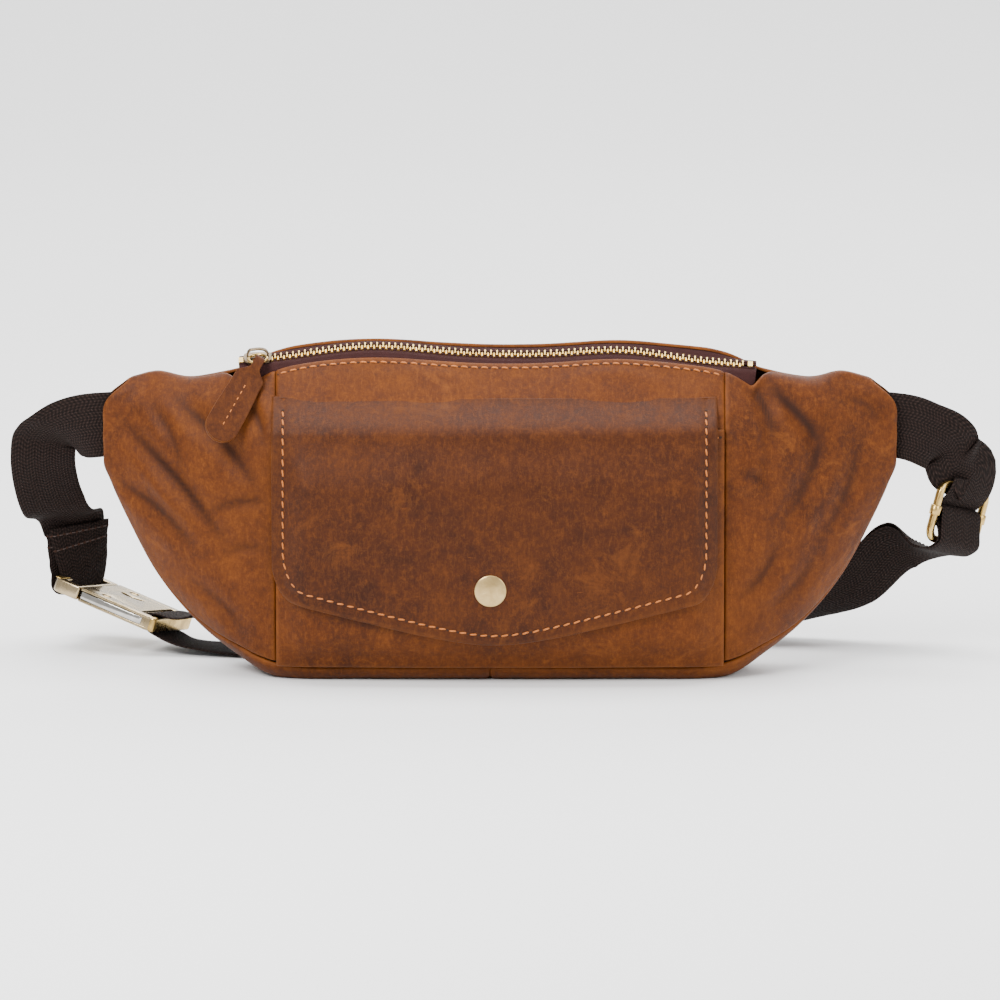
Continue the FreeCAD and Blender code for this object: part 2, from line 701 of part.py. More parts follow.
def levers():
    """Squeeze levers on the pins: a polished side plate, and a hook beside the tongue's notch."""
    room = dim("buckle_tall") - 2 * dim("buckle_wall") - 0.5
    low = -room / 2
    for name, side in (("front", -1), ("rear", 1)):
        plate = Part.makeBox(23.5, 1.8, room, V(PIVOT_X - 0.5, 18.8, low))
        eye = Part.makeCylinder(2.7, room, V(PIVOT_X, PIVOT_Y, low))
        arm = Part.makeBox(9.0, 2.2, room, V(PIVOT_X - 9, 15.2, low))
        hook = Part.makeBox(2.6, 5.1, room, V(PIVOT_X - 9, 12.3, low))
        tab = Part.makeBox(3.4, 2.4, room, V(PIVOT_X - 10.6, 17.3, low))
        body = plate.fuse([eye, arm, hook, tab])
        body = body.cut(Part.makeCylinder(1.5, 20, V(PIVOT_X, PIVOT_Y, -10)))
        spring = Part.makeBox(4.6, 0.5, room - 0.6, V(PIVOT_X + 3.2, 17.2, low + 0.3))
        for label, shape in ((f"release_lever_{name}", body), (f"lever_spring_{name}", spring)):
            if side < 0:
                shape = shape.mirror(V(0, 0, 0), V(0, 1, 0))
            shape.Placement = BUCKLE_PLACE.multiply(shape.Placement)
            shaped(label, shape)


# ---------------------------------------------------------------- adjuster
def adjuster():
    """A rounded frame, and a centre bar whose ends wrap the frame's two rails."""
    rod_size = dim("adjuster_rod")
    wide, long = dim("adjuster_width"), dim("adjuster_long")

    def rounded(w, d, r):
        edges = []
        x, y = d / 2, w / 2
        k = r * (1 - math.sqrt(0.5))
        corners = [(x, y, 1, 1), (-x, y, -1, 1), (-x, -y, -1, -1), (x, -y, 1, -1)]
        points = []
        for cx, cy, sx, sy in corners:
            a = V(cx, cy - r * sy, 0)
            b = V(cx - k * sx, cy - k * sy, 0)
            c = V(cx - r * sx, cy, 0)
            points.append((a, b, c) if sx * sy > 0 else (c, b, a))
        for i, (a, b, c) in enumerate(points):
            edges.append(Part.Arc(a, b, c).toShape())
            edges.append(Part.LineSegment(c, points[(i + 1) % 4][0]).toShape())
        return Part.Face(Part.Wire(edges))

    outer = rounded(wide, long, 7.0).extrude(V(0, 0, rod_size))
    inner = rounded(wide - 2 * rod_size, long - 2 * rod_size, 3.6).extrude(V(0, 0, rod_size))
    ring = outer.cut(inner)
    ring.translate(V(0, 0, -rod_size / 2))
    ring.Placement = ADJUSTER_PLACE.multiply(ring.Placement)
    shaped("adjuster_frame", ring)
    bar = Part.makeBox(3.0, wide - 2 * rod_size - 1.0, 2.2,
                       V(-1.5, -(wide - 2 * rod_size - 1.0) / 2, -1.1))
    for side in (-1, 1):
        y = side * (wide / 2 - rod_size / 2)
        hole = rod_size + 0.6
        size = hole + 1.2
        collar = Part.makeBox(4.4, size, size, V(-2.2, y - size / 2, -size / 2))
        collar = collar.cut(Part.makeBox(4.4, hole, hole, V(-2.2, y - hole / 2, -hole / 2)))
        bar = bar.fuse(collar)
    bar.Placement = ADJUSTER_PLACE.multiply(bar.Placement)
    shaped("adjuster_bar", bar)


pouch()
lining()
pocket()
flap_fold()
flap()
snap()
teeth()
tapes()
zip_stops()
zip_slider()
pull()
left_strap()
strap_loop()
long_strap()
buckle()
levers()
adjuster()
doc.recompute()

for obj in doc.Objects:
    if "Invalid" in obj.State or "Error" in obj.State:
        raise RuntimeError(f"{obj.Name} failed: {obj.State}")
os.makedirs("parts", exist_ok=True)
for part in parts:
    shape = part.Shape
    if shape.isNull() or not shape.isValid() or shape.Volume <= 0:
        raise RuntimeError(f"{part.Label} is not a sound solid")
    shape.exportStep(f"parts/{part.Label}.step")
    size = shape.BoundBox
    print(f"{part.Label:22s} {len(shape.Solids):3d} solids {shape.Volume:10.1f} mm3  "
          f"x {size.XMin:.1f}..{size.XMax:.1f} y {size.YMin:.1f}..{size.YMax:.1f} "
          f"z {size.ZMin:.1f}..{size.ZMax:.1f}")
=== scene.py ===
"""The waist pack's looks: leather panels, stitching, zip, webbing and brass fittings.

Lengths are millimetres inside this script and become metres when a mesh is made.
"""
import bmesh
import bpy
import math
from mathutils import Matrix, Vector, noise


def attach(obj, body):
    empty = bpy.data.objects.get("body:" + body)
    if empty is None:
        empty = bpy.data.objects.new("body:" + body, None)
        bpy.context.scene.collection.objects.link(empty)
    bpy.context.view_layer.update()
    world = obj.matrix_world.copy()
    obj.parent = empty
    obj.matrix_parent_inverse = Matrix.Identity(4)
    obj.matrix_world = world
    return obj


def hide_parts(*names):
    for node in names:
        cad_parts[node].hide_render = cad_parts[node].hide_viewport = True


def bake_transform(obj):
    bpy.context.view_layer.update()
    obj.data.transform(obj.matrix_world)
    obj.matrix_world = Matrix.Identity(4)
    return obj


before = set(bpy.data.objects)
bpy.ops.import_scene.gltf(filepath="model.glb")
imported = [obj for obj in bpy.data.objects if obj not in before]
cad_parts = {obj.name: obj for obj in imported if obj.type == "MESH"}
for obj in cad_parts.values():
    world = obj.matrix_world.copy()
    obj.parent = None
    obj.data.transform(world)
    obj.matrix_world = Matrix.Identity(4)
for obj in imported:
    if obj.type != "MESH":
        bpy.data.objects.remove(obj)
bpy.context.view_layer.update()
MM = 0.001
V = Vector
ROOT = "pouch_body"
LEATHER = 1.8
SEAM_X, TIP_X = 103.0, 183.0

# ------------------------------------------------------------ the pouch's surface
# x from the middle: front y, ridge y, back y, bottom z, top z, squareness above, below, taper
STATIONS = [
    (0, -33, 3, 30, -0.8, 151.0, 3.2, 6.0, 0.5),
    (60, -32, 3, 29.5, -0.8, 150.6, 3.2, 6.0, 0.5),
    (103, -29.5, 3, 27, -0.5, 148.5, 3.0, 5.0, 0.45),
    (122, -24, 5, 25, 9.0, 140.5, 2.5, 3.2, 0.22),
    (140, -15, 8, 22.5, 22.5, 136.5, 2.2, 2.4, 0.10),
    (158, -4.5, 10, 20, 44.0, 135.0, 2.2, 2.2, 0.0),
    (172, 3.5, 12, 18.5, 70.0, 133.5, 2.4, 2.4, 0.0),
    (183, 7.5, 13, 18, 94.0, 131.0, 3.0, 3.0, 0.0),
]


def smooth(t):
    """An even step from 0 to 1, with soft ends."""
    t = min(max(t, 0.0), 1.0)
    return t * t * (3 - 2 * t)


def station(x):
    """The cross-section's measures at x, by cubic curves through the stations."""
    x = min(abs(x), STATIONS[-1][0])
    i = next(k for k in range(len(STATIONS) - 1) if x <= STATIONS[k + 1][0])
    low, high = STATIONS[i], STATIONS[i + 1]
    before = STATIONS[i - 1] if i else [-high[0]] + list(high[1:])
    after = STATIONS[min(i + 2, len(STATIONS) - 1)]
    span = high[0] - low[0]
    t = (x - low[0]) / span
    values = []
    for k in range(1, len(low)):
        rise_low = (high[k] - before[k]) / (high[0] - before[0]) * span
        rise_high = (after[k] - low[k]) / (after[0] - low[0]) * span
        values.append(
            (2 * t**3 - 3 * t**2 + 1) * low[k]
            + (t**3 - 2 * t**2 + t) * rise_low
            + (3 * t**2 - 2 * t**3) * high[k]
            + (t**3 - t**2) * rise_high
        )
    return values


def surface(x, turn):
    """A point of the outer surface: turn is 180 at the front, 90 on top and 0 at the back."""
    front, ridge, back, bottom, top, square_up, square_down, taper = station(x)
    c, s = math.cos(math.radians(turn)), math.sin(math.radians(turn))
    n = square_up if s > 0 else square_down
    r = (abs(c) ** n + abs(s) ** n) ** (-1 / n)
    narrow = 1 - taper * smooth((r * s - 0.55) / 0.5)
    deep = (ridge - front) if c < 0 else (back - ridge)
    middle, half = (top + bottom) / 2, (top - bottom) / 2
    return V((x, ridge + deep * r * c * narrow, middle + half * r * s))


def zip_wave(x):
    """How far the soft mouth stands over the zip's even arc."""
    return 4.4 * math.exp(-(((x + 60) / 34) ** 2)) + 3.3 * math.exp(-(((x - 56) / 27) ** 2))


def warp(p):
    """The visible shape's small changes: rounded, fuller wing tops and a wavy mouth."""
    side, far = (1 if p.x > 0 else -1), abs(p.x)
    z = p.z + 4.6 * smooth((far - 138) / 30) * smooth((p.z - 92) / 42)
    z += (0.75 * zip_wave(p.x) + 0.9 * smooth((108 - far) / 14)) * smooth((p.z - 122) / 22)
    pull = 13 * smooth((z - 117) / 20) ** 2 * smooth((far - 140) / 43)
    return V((p.x - side * pull, p.y, z))


def normal_at(x, turn):
    """The surface's inward normal."""
    e = 0.05 if x < TIP_X - 1 else -0.05
    along = (surface(x + e, turn) - surface(x, turn)) * (1 if e > 0 else -1)
    around = surface(x, turn + 0.2) - surface(x, turn)
    return along.cross(around).normalized()


def front_y(x, z):
    """y of the front panel's outer face at a height."""
    front, ridge, _, bottom, top, square_up, square_down, taper = station(x)
    s = (z - (top + bottom) / 2) / ((top - bottom) / 2)
    n = square_up if s > 0 else square_down
    c = (1 - min(abs(s), 0.999) ** n) ** (1 / n)
    return ridge - (ridge - front) * c * (1 - taper * smooth((s - 0.55) / 0.5))


def spread(low, high, count):
    """Evenly spaced numbers, both ends among them."""
    return [low + (high - low) * k / (count - 1) for k in range(count)]


def spread_to_ends(low, high, count):
    """Like spread, but closer together towards both ends."""
    middle, half = (low + high) / 2, (high - low) / 2
    return [middle + half * math.sin(a) for a in spread(-math.pi / 2, math.pi / 2, count)]


# ------------------------------------------------------------ mesh makers
def link(piece, body=None):
    """Puts an object in the scene, riding on a body if one is given."""
    bpy.context.scene.collection.objects.link(piece)
    if body:
        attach(piece, body)
    return piece


def add(name, points, faces, material, body=ROOT):
    """An object from points in millimetres, riding on a body."""
    mesh = bpy.data.meshes.new(name)
    mesh.from_pydata([tuple(p * MM) for p in points], [], faces)
    mesh.materials.append(material)
    mesh.polygons.foreach_set("use_smooth", [True] * len(mesh.polygons))
    tidy = bmesh.new()
    tidy.from_mesh(mesh)
    bmesh.ops.recalc_face_normals(tidy, faces=tidy.faces)
    tidy.to_mesh(mesh)
    tidy.free()
    return link(bpy.data.objects.new(name, mesh), body)


def colour_by(piece, name, values):
    """Stores one number for each point, for the material to read."""
    layer = piece.data.attributes.new(name, "FLOAT", "POINT")
    layer.data.foreach_set("value", values)


def slab(outer, inner, round_rim=0.35):
    """Points and faces of the closed sheet between two grids, with a rounded rim."""
    rows, columns = len(outer), len(outer[0])
    points = [p for row in outer for p in row] + [p for row in inner for p in row]
    count = rows * columns
    faces = []
    for i in range(rows - 1):
        for j in range(columns - 1):
            a = i * columns + j
            quad = (a, a + 1, a + columns + 1, a + columns)
            faces.append(quad)
            faces.append(tuple(count + k for k in reversed(quad)))
    rim = [(0, j) for j in range(columns)]
    rim += [(i, columns - 1) for i in range(1, rows)]
    rim += [(rows - 1, j) for j in range(columns - 2, -1, -1)]
    rim += [(i, 0) for i in range(rows - 2, 0, -1)]
    middle = []
    for i, j in rim:
        i_in = min(max(i, 1), rows - 2)
        j_in = min(max(j, 1), columns - 2)
        a, b = outer[i][j], inner[i][j]
        out = (a - outer[i_in][j_in]).normalized()
        middle.append(len(points))
        points.append((a + b) / 2 + out * (a - b).length * round_rim)
    for k in range(len(rim)):
        n = (k + 1) % len(rim)
        a, b = (rim[q][0] * columns + rim[q][1] for q in (k, n))
        faces.append((a, middle[k], middle[n], b))
        faces.append((middle[k], a + count, b + count, middle[n]))
    return points, faces, rim


def leather_sheet(name, outer, inner, material, body=ROOT, wear=None):
    """A closed leather sheet whose edges are marked as worn."""
    points, faces, rim = slab(outer, inner)
    piece = add(name, points, faces, material, body)
    rows, columns = len(outer), len(outer[0])
    marks = []
    for i in range(rows):
        for j in range(columns):
            p = outer[i][j]
            sides = [outer[0][j], outer[-1][j], outer[i][0], outer[i][-1]]
            near = min((p - q).length for q in sides)
            marks.append(max(0.0, 1 - near / 2.4) * 0.7 + (wear(p) if wear else 0.0))
    marks += [0.0] * (rows * columns) + [1.0] * len(rim)
    colour_by(piece, "wear", marks)
    return piece


def tube(sections, closed=False):
    """Points and faces of a skin over sections; each section lists its points."""
    points = [p for section in sections for p in section]
    n, m = len(sections), len(sections[0])
    faces = []
    for k in range(n if closed else n - 1):
        a, b = k * m, ((k + 1) % n) * m
        for j in range(m):
            q = (j + 1) % m
            faces.append((a + j, a + q, b + q, b + j))
    if not closed:
        faces.append(tuple(range(m)))
        faces.append(tuple((n - 1) * m + j for j in reversed(range(m))))
    return points, faces


def gathered(parts):
    """Points and faces of several meshes as one."""
    points, faces = [], []
    for more, quads in parts:
        faces += [tuple(len(points) + q for q in quad) for quad in quads]
        points += more
    return points, faces


def way_at(line, k):
    """The direction of a line of points at one of them."""
    return (line[min(k + 1, len(line) - 1)] - line[max(k - 1, 0)]).normalized()


def curve_through(points, steps):
    """Smooth places through points, as (number of the point, place): Hermite curves."""
    stops = [0.0]
    for a, b in zip(points, points[1:]):
        stops.append(stops[-1] + max((b - a).length, 1e-6))
    tangents = []
    for i, p in enumerate(points):
        if i == 0:
            tangents.append((points[1] - p) / (stops[1] - stops[0]))
        elif i == len(points) - 1:
            tangents.append((p - points[i - 1]) / (stops[i] - stops[i - 1]))
        else:
            before, after = stops[i] - stops[i - 1], stops[i + 1] - stops[i]
            left = (p - points[i - 1]) / before
            right = (points[i + 1] - p) / after
            tangents.append((left * after + right * before) / (before + after))
    places = []
    for i in range(len(points) - 1):
        span = stops[i + 1] - stops[i]
        count = max(2, int(span / steps))
        for k in range(count):
            t = k / count
            places.append((
                i + t,
                points[i] * (2 * t**3 - 3 * t**2 + 1)
                + tangents[i] * span * (t**3 - 2 * t**2 + t)
                + points[i + 1] * (3 * t**2 - 2 * t**3)
                + tangents[i + 1] * span * (t**3 - t**2)))
    places.append((len(points) - 1.0, points[-1]))
    return places


def plate(name, loops, low, high, bevel, place, material, body=ROOT):
    """A flat plate with bevelled edges from closed outlines; the first is its outside."""
    line = bpy.data.curves.new(name, "CURVE")
    line.dimensions = "2D"
    line.fill_mode = "BOTH"
    line.extrude = (high - low) / 2 - bevel
    line.bevel_depth = bevel
    line.bevel_resolution = 2
    line.offset = -bevel
    for loop in loops:
        spline = line.splines.new("POLY")
        spline.points.add(len(loop) - 1)
        for point, (x, y) in zip(spline.points, loop):
            point.co = (x, y, 0, 1)
        spline.use_cyclic_u = True
    holder = link(bpy.data.objects.new(name + "_line", line))
    bpy.context.view_layer.update()
    mesh = bpy.data.meshes.new_from_object(holder)
    bpy.data.objects.remove(holder)
    work = bmesh.new()
    work.from_mesh(mesh)
    bmesh.ops.remove_doubles(work, verts=work.verts, dist=0.01)
    bmesh.ops.recalc_face_normals(work, faces=work.faces)
    work.transform(Matrix.Translation(V((0, 0, (low + high) / 2))))
    work.transform(place)
    work.transform(Matrix.Scale(MM, 4))
    work.to_mesh(mesh)
    work.free()
    mesh.name = name
    mesh.materials.clear()
    mesh.materials.append(material)
    soft_shade(mesh)
    return link(bpy.data.objects.new(name, mesh), body)


def soft_shade(mesh, degrees=38):
    """Smooth shading that keeps the sharper edges."""
    mesh.polygons.foreach_set("use_smooth", [True] * len(mesh.polygons))
    mesh.set_sharp_from_angle(angle=math.radians(degrees))


def rounded(x0, y0, x1, y1, r, steps=6):
    """A rounded rectangle's outline. r is one radius, or four from the lower left round."""
    radii = r if isinstance(r, tuple) else (r,) * 4
    corners = [(x0, y0, 180), (x1, y0, 270), (x1, y1, 0), (x0, y1, 90)]
    loop = []
    for (x, y, start), radius in zip(corners, radii):
        cx = x + radius if x == x0 else x - radius
        cy = y + radius if y == y0 else y - radius
        for k in range(steps + 1):
            a = math.radians(start + 90 * k / steps)
            loop.append((cx + radius * math.cos(a), cy + radius * math.sin(a)))
    return loop


def circle(x, y, r, steps=32):
    """A circle's outline."""
    return [(x + r * math.cos(2 * math.pi * k / steps), y + r * math.sin(2 * math.pi * k / steps))
            for k in range(steps)]


def squared(steps, power):
    """A circle of radius one, squared off as the power grows."""
    loop = []
    for c, s in circle(0, 0, 1, steps):
        r = (abs(c) ** power + abs(s) ** power) ** (-1 / power)
        loop.append((r * c, r * s))
    return loop


def mirrored(line, side):
    """An outline, turned over the x axis where side is -1."""
    return [(x, y * side) for x, y in line]


def turned(name, profile, place, material, body=ROOT, steps=64):
    """A turned part: profile is (radius, height) pairs from the axis round to the axis."""
    points, faces = [], []
    for r, h in profile:
        points += [place @ V((x, y, h)) for x, y in circle(0, 0, r, steps)]
    for i in range(len(profile) - 1):
        for k in range(steps):
            n = (k + 1) % steps
            faces.append((i * steps + k, i * steps + n, (i + 1) * steps + n, (i + 1) * steps + k))
    faces.append(tuple(range(steps)))
    last = (len(profile) - 1) * steps
    faces.append(tuple(last + k for k in reversed(range(steps))))
    piece = add(name, points, faces, material, body)
    soft_shade(piece.data, 30)
    return piece


def frame_of(origin, x_axis, y_axis):
    """The matrix that takes local axes to a place, x first and y made square to it."""
    x = V(x_axis).normalized()
    y = V(y_axis)
    y = (y - x * y.dot(x)).normalized()
    z = x.cross(y)
    turn = Matrix((x, y, z)).transposed().to_4x4()
    return Matrix.Translation(V(origin)) @ turn


# ------------------------------------------------------------ materials
class Shader:
    """A Principled material, and the nodes that feed it."""

    def __init__(self, name, **sockets):
        self.material = bpy.data.materials.new(name)
        self.material.use_nodes = True
        self.tree = self.material.node_tree
        self.bsdf = self.tree.nodes["Principled BSDF"]
        for key, value in sockets.items():
            self.bsdf.inputs[key.replace("_", " ")].default_value = value

    def node(self, kind, inputs=None, **settings):
        made = self.tree.nodes.new("ShaderNode" + kind)
        for key, value in settings.items():
            setattr(made, key, value)
        for key, value in (inputs or {}).items():
            if isinstance(value, bpy.types.NodeSocket):
                self.tree.links.new(value, made.inputs[key])
            else:
                made.inputs[key].default_value = value
        return made

    def place(self):
        return self.node("TexCoord").outputs["Object"]

    def grain(self, scale, detail=4.0, rough=0.5, distortion=0.0, stretch=None, place=None):
        place = place or self.place()
        if stretch:
            place = self.node("Mapping", {"Vector": place, "Scale": stretch}).outputs["Vector"]
        return self.node("TexNoise", {
            "Vector": place, "Scale": scale, "Detail": detail, "Roughness": rough,
            "Distortion": distortion}).outputs["Fac"]

    def ramp(self, fac, *stops):
        made = self.node("ValToRGB", {"Fac": fac})
        line = made.color_ramp
        while len(line.elements) < len(stops):
            line.elements.new(0.5)
        for element, (position, colour) in zip(line.elements, stops):
            element.position = position
            if isinstance(colour, (int, float)):
                colour = (colour, colour, colour)
            element.color = (*colour, 1.0)
        return made.outputs["Color"]

    def mix(self, fac, a, b, how="MIX"):
        made = self.node("MixRGB", {"Fac": fac}, blend_type=how)
        for key, value in (("Color1", a), ("Color2", b)):
            if isinstance(value, bpy.types.NodeSocket):
                self.tree.links.new(value, made.inputs[key])
            else:
                made.inputs[key].default_value = (*value, 1.0)
        return made.outputs["Color"]

    def math(self, how, a, b=0.0):
        return self.node("Math", {0: a, 1: b}, operation=how).outputs["Value"]

    def attribute(self, name):
        return self.node("Attribute", attribute_name=name).outputs["Fac"]

    def bump(self, height, strength, depth, under=None):
        """depth is in metres."""
        inputs = {"Height": height, "Strength": strength, "Distance": depth}
        if under:
            inputs["Normal"] = under
        return self.node("Bump", inputs).outputs["Normal"]

    def set(self, **links):
        for key, value in links.items():
            self.tree.links.new(value, self.bsdf.inputs[key.replace("_", " ")])
        return self.material


def make_leather(name, dark, middle, light, worn, shine=0.55):
    """Oiled pull-up leather: cloudy colour, pale scuffs and edges, brushed nap and pores, and painted
    shade in the creases.
    """
    s = Shader(name, Specular_IOR_Level=0.13)
    broad = s.grain(15, 4, 0.6, 0.8)
    fine = s.grain(80, 8, 0.7, 0.4)
    speck = s.grain(430, 6, 0.75, 0.3)
    nap = s.grain(150, 8, 0.8, 0.6, (5.0, 1.0, 1.4))
    cloud = s.math("ADD", s.math("MULTIPLY", broad, 0.50), s.math("MULTIPLY", fine, 0.50))
    colour = s.ramp(cloud, (0.36, dark), (0.49, middle), (0.64, light))
    # brushed nap: short streaks of paler and darker fibre
    colour = s.mix(s.ramp(nap, (0.50, 0.0), (0.72, 0.42)), colour, worn)
    colour = s.mix(s.ramp(nap, (0.28, 0.40), (0.47, 0.0)), colour, dark)
    colour = s.mix(s.ramp(speck, (0.50, 0.0), (0.72, 0.38)), colour, worn)
    colour = s.mix(s.ramp(speck, (0.28, 0.45), (0.47, 0.0)), colour, tuple(c * 0.5 for c in dark))
    # pale blotches where the oil has moved
    patch = s.ramp(s.grain(30, 6, 0.75, 1.2), (0.57, 0.0), (0.76, 0.62))
    colour = s.mix(patch, colour, worn)
    # fine scratches, in two directions
    for scale, stretch, low in ((60, (6, 1, 0.5), 0.66), (50, (0.6, 1, 5), 0.67)):
        scratch = s.ramp(s.grain(scale, 8, 0.75, 0.9, stretch), (low, 0.0), (low + 0.05, 0.50))
        colour = s.mix(scratch, colour, tuple(c * 1.25 for c in worn))
    wear = s.attribute("wear")
    ragged = s.math("MULTIPLY", wear, s.ramp(fine, (0.36, 0.25), (0.62, 1.0)))
    colour = s.mix(s.math("MULTIPLY", ragged, 0.75), colour, worn)
    # painted shade: the colour darkens inside the crease valleys
    painted_crease_shade = s.attribute("painted_crease_shade")
    colour = s.mix(s.math("MULTIPLY", painted_crease_shade, 0.6), colour, tuple(c * 0.5 for c in dark))
    rough = s.ramp(s.math("ADD", s.math("MULTIPLY", cloud, 0.6), s.math("MULTIPLY", speck, 0.4)),
                   (0.36, shine - 0.07), (0.64, shine + 0.15))
    pores = s.node("TexVoronoi", {"Vector": s.place(), "Scale": 1050.0},
                   feature="DISTANCE_TO_EDGE").outputs["Distance"]
    pebble = s.ramp(pores, (0.0, 0.0), (0.22, 1.0))
    skin = s.bump(pebble, 0.28, 0.00012)
    skin = s.bump(speck, 0.40, 0.00022, skin)
    skin = s.bump(s.grain(120, 5, 0.6, 0.5), 0.30, 0.0006, skin)
    return s.set(Base_Color=colour, Roughness=rough, Normal=skin)


def make_webbing(name, base, lit, rib=1.75, wale=1.36):
    """Woven webbing: ribs across it, crossed by the warp's rows, in a herring-bone."""
    s = Shader(name, Specular_IOR_Level=0.10)
    place = s.node("UVMap", uv_map="weave").outputs["UV"]
    split = s.node("SeparateXYZ", {"Vector": place})
    along, across = split.outputs["X"], split.outputs["Y"]
    # u and v are millimetres; each pick leans one way, then the other, across the width
    lean = s.math("PINGPONG", across, 3.75)
    slant = s.math("ADD", along, s.math("MULTIPLY", lean, 0.55))
    pick = s.math("SINE", s.math("MULTIPLY", slant, 2 * math.pi / rib))
    warp = s.math("SINE", s.math("MULTIPLY", across, 2 * math.pi / wale))
    thread = s.math("ADD", s.math("MULTIPLY", pick, 0.55), s.math("MULTIPLY", warp, 0.45))
    height = s.math("ADD", s.math("MULTIPLY", thread, 0.5), 0.5)
    fuzz = s.grain(900, 5, 0.7)
    # painted shade in the hollows between threads and painted highlight on the thread tops, set by
    # the weave's height
    colour = s.ramp(height, (0.12, tuple(c * 0.35 for c in base)), (0.62, base), (1.0, lit))
    colour = s.mix(s.ramp(fuzz, (0.45, 0.0), (0.75, 0.5)), colour, lit)
    rough = s.ramp(fuzz, (0.3, 0.78), (0.7, 0.95))
    skin = s.bump(height, 1.0, 0.00045)
    skin = s.bump(fuzz, 0.25, 0.00012, skin)
    return s.set(Base_Color=colour, Roughness=rough, Normal=skin)


def make_cloth(name, base, lit, pitch=0.45):
    """Plain weave in the x, y and z of the object, for lining and zip tape."""
    s = Shader(name, Specular_IOR_Level=0.12)
    split = s.node("SeparateXYZ", {"Vector": s.place()})
    turn = 2 * math.pi / (pitch * MM)
    across = s.math("SINE", s.math("MULTIPLY", split.outputs["X"], turn))
    lean = s.math("ADD", split.outputs["Z"], split.outputs["Y"])
    down = s.math("SINE", s.math("MULTIPLY", lean, turn))
    height = s.math("ADD", s.math("MULTIPLY", s.math("MULTIPLY", across, down), 0.5), 0.5)
    colour = s.mix(s.grain(260, 5, 0.6), base, lit)
    # painted shade: darker where the weave dips between its threads
    colour = s.mix(s.ramp(height, (0.2, 0.55), (0.6, 0.0)), colour, tuple(c * 0.4 for c in base))
    skin = s.bump(height, 0.7, 0.00015)
    return s.set(Base_Color=colour, Normal=skin, Roughness=s.ramp(height, (0.0, 0.9), (1.0, 0.8)))


def make_metal(name, base, dull, rough_low, rough_high, brushed=None, depth=0.00003):
    """Plated metal with a worn patina; brushed is the stretch of its fine scratches."""
    s = Shader(name, Metallic=1.0)
    cloud = s.grain(130, 5, 0.6, 0.4)
    colour = s.mix(s.ramp(cloud, (0.40, 0.0), (0.70, 0.8)), base, dull)
    lines = s.grain(420, 4, 0.6, 0.0, brushed or (1, 1, 1))
    colour = s.mix(s.ramp(lines, (0.50, 0.0), (0.80, 0.35)), colour, dull)
    rough = s.ramp(s.math("ADD", s.math("MULTIPLY", cloud, 0.5), s.math("MULTIPLY", lines, 0.5)),
                   (0.36, rough_low), (0.62, rough_high))
    skin = s.bump(lines, 0.35, depth)
    return s.set(Base_Color=colour, Roughness=rough, Normal=skin)


def make_plain(name, colour, other, rough):
    """Sewing thread and small dark parts: a twisted, slightly uneven colour."""
    s = Shader(name, Specular_IOR_Level=0.3)
    twist = s.grain(1500, 3, 0.5, 0.0, (1, 1, 2.5))
    skin = s.bump(twist, 0.6, 0.0001)
    return s.set(Base_Color=s.mix(s.ramp(twist, (0.35, 0.0), (0.65, 1.0)), colour, other),
                 Roughness=s.ramp(twist, (0.3, rough - 0.1), (0.7, rough)), Normal=skin)


LEATHER_SKIN = make_leather(
    "oiled_leather", (0.037, 0.0080, 0.0008), (0.068, 0.0160, 0.0014), (0.098, 0.0255, 0.0025),
    (0.190, 0.056, 0.0068))
FLAP_SKIN = make_leather(
    "flap_leather", (0.024, 0.0052, 0.0008), (0.043, 0.0100, 0.0013), (0.064, 0.0163, 0.0021),
    (0.135, 0.040, 0.0058), 0.50)
RAW_SIDE = make_leather(
    "leather_back", (0.110, 0.044, 0.014), (0.150, 0.064, 0.022), (0.200, 0.090, 0.034),
    (0.260, 0.130, 0.055), 0.80)
WEBBING_SKIN = make_webbing("dark_webbing", (0.0090, 0.0052, 0.0042), (0.026, 0.0155, 0.0125))
TAPE_SKIN = make_cloth("zip_tape", (0.022, 0.0065, 0.0060), (0.046, 0.015, 0.014))
LINING_SKIN = make_cloth("lining", (0.030, 0.026, 0.024), (0.060, 0.052, 0.048), 0.8)
BRASS = make_metal("antique_brass", (0.66, 0.45, 0.15), (0.30, 0.18, 0.05), 0.20, 0.36)
CAP_BRASS = make_metal(
    "brushed_brass", (0.56, 0.40, 0.18), (0.34, 0.22, 0.08), 0.26, 0.40, (1, 1, 14), 0.00004)
TOOTH_BRASS = make_metal("tooth_brass", (0.80, 0.56, 0.19), (0.46, 0.29, 0.08), 0.20, 0.34)
DARK_BRASS = make_metal("dark_brass", (0.17, 0.12, 0.07), (0.07, 0.048, 0.028), 0.25, 0.42)
STEEL = make_metal("polished_steel", (0.50, 0.48, 0.45), (0.30, 0.28, 0.25), 0.05, 0.14)
BUCKLE_BRASS = make_metal(
    "buckle_brass", (0.42, 0.33, 0.20), (0.22, 0.16, 0.08), 0.18, 0.32, (2, 14, 2), 0.00003)
THREAD = make_plain("orange_thread", (0.30, 0.085, 0.014), (0.42, 0.13, 0.025), 0.7)
DARK_THREAD = make_plain("dark_thread", (0.030, 0.019, 0.016), (0.060, 0.040, 0.035), 0.8)
# painted shade: the near-black colour of the needle-hole discs stands for the shade inside the holes
NEEDLE_HOLE_SHADE = make_plain("needle_hole_shade", (0.020, 0.007, 0.003), (0.035, 0.012, 0.005), 0.95)


# ------------------------------------------------------------ leather
FRONT_SEAM, BACK_SEAM = 225.5, -45.5
ZIP_LEFT, ZIP_RIGHT = -120.0, 118.0
FRONT_ZIP_EDGE, REAR_ZIP_EDGE = 125.0, 76.0
GUSSET_JOIN = -4.6
# how near a seam the leather is held flat, and the deepest that any of it sinks
SEAM_HOLD, MOST_SUNK = 9.0, 1.7
FRONT_SWELL = 0.6

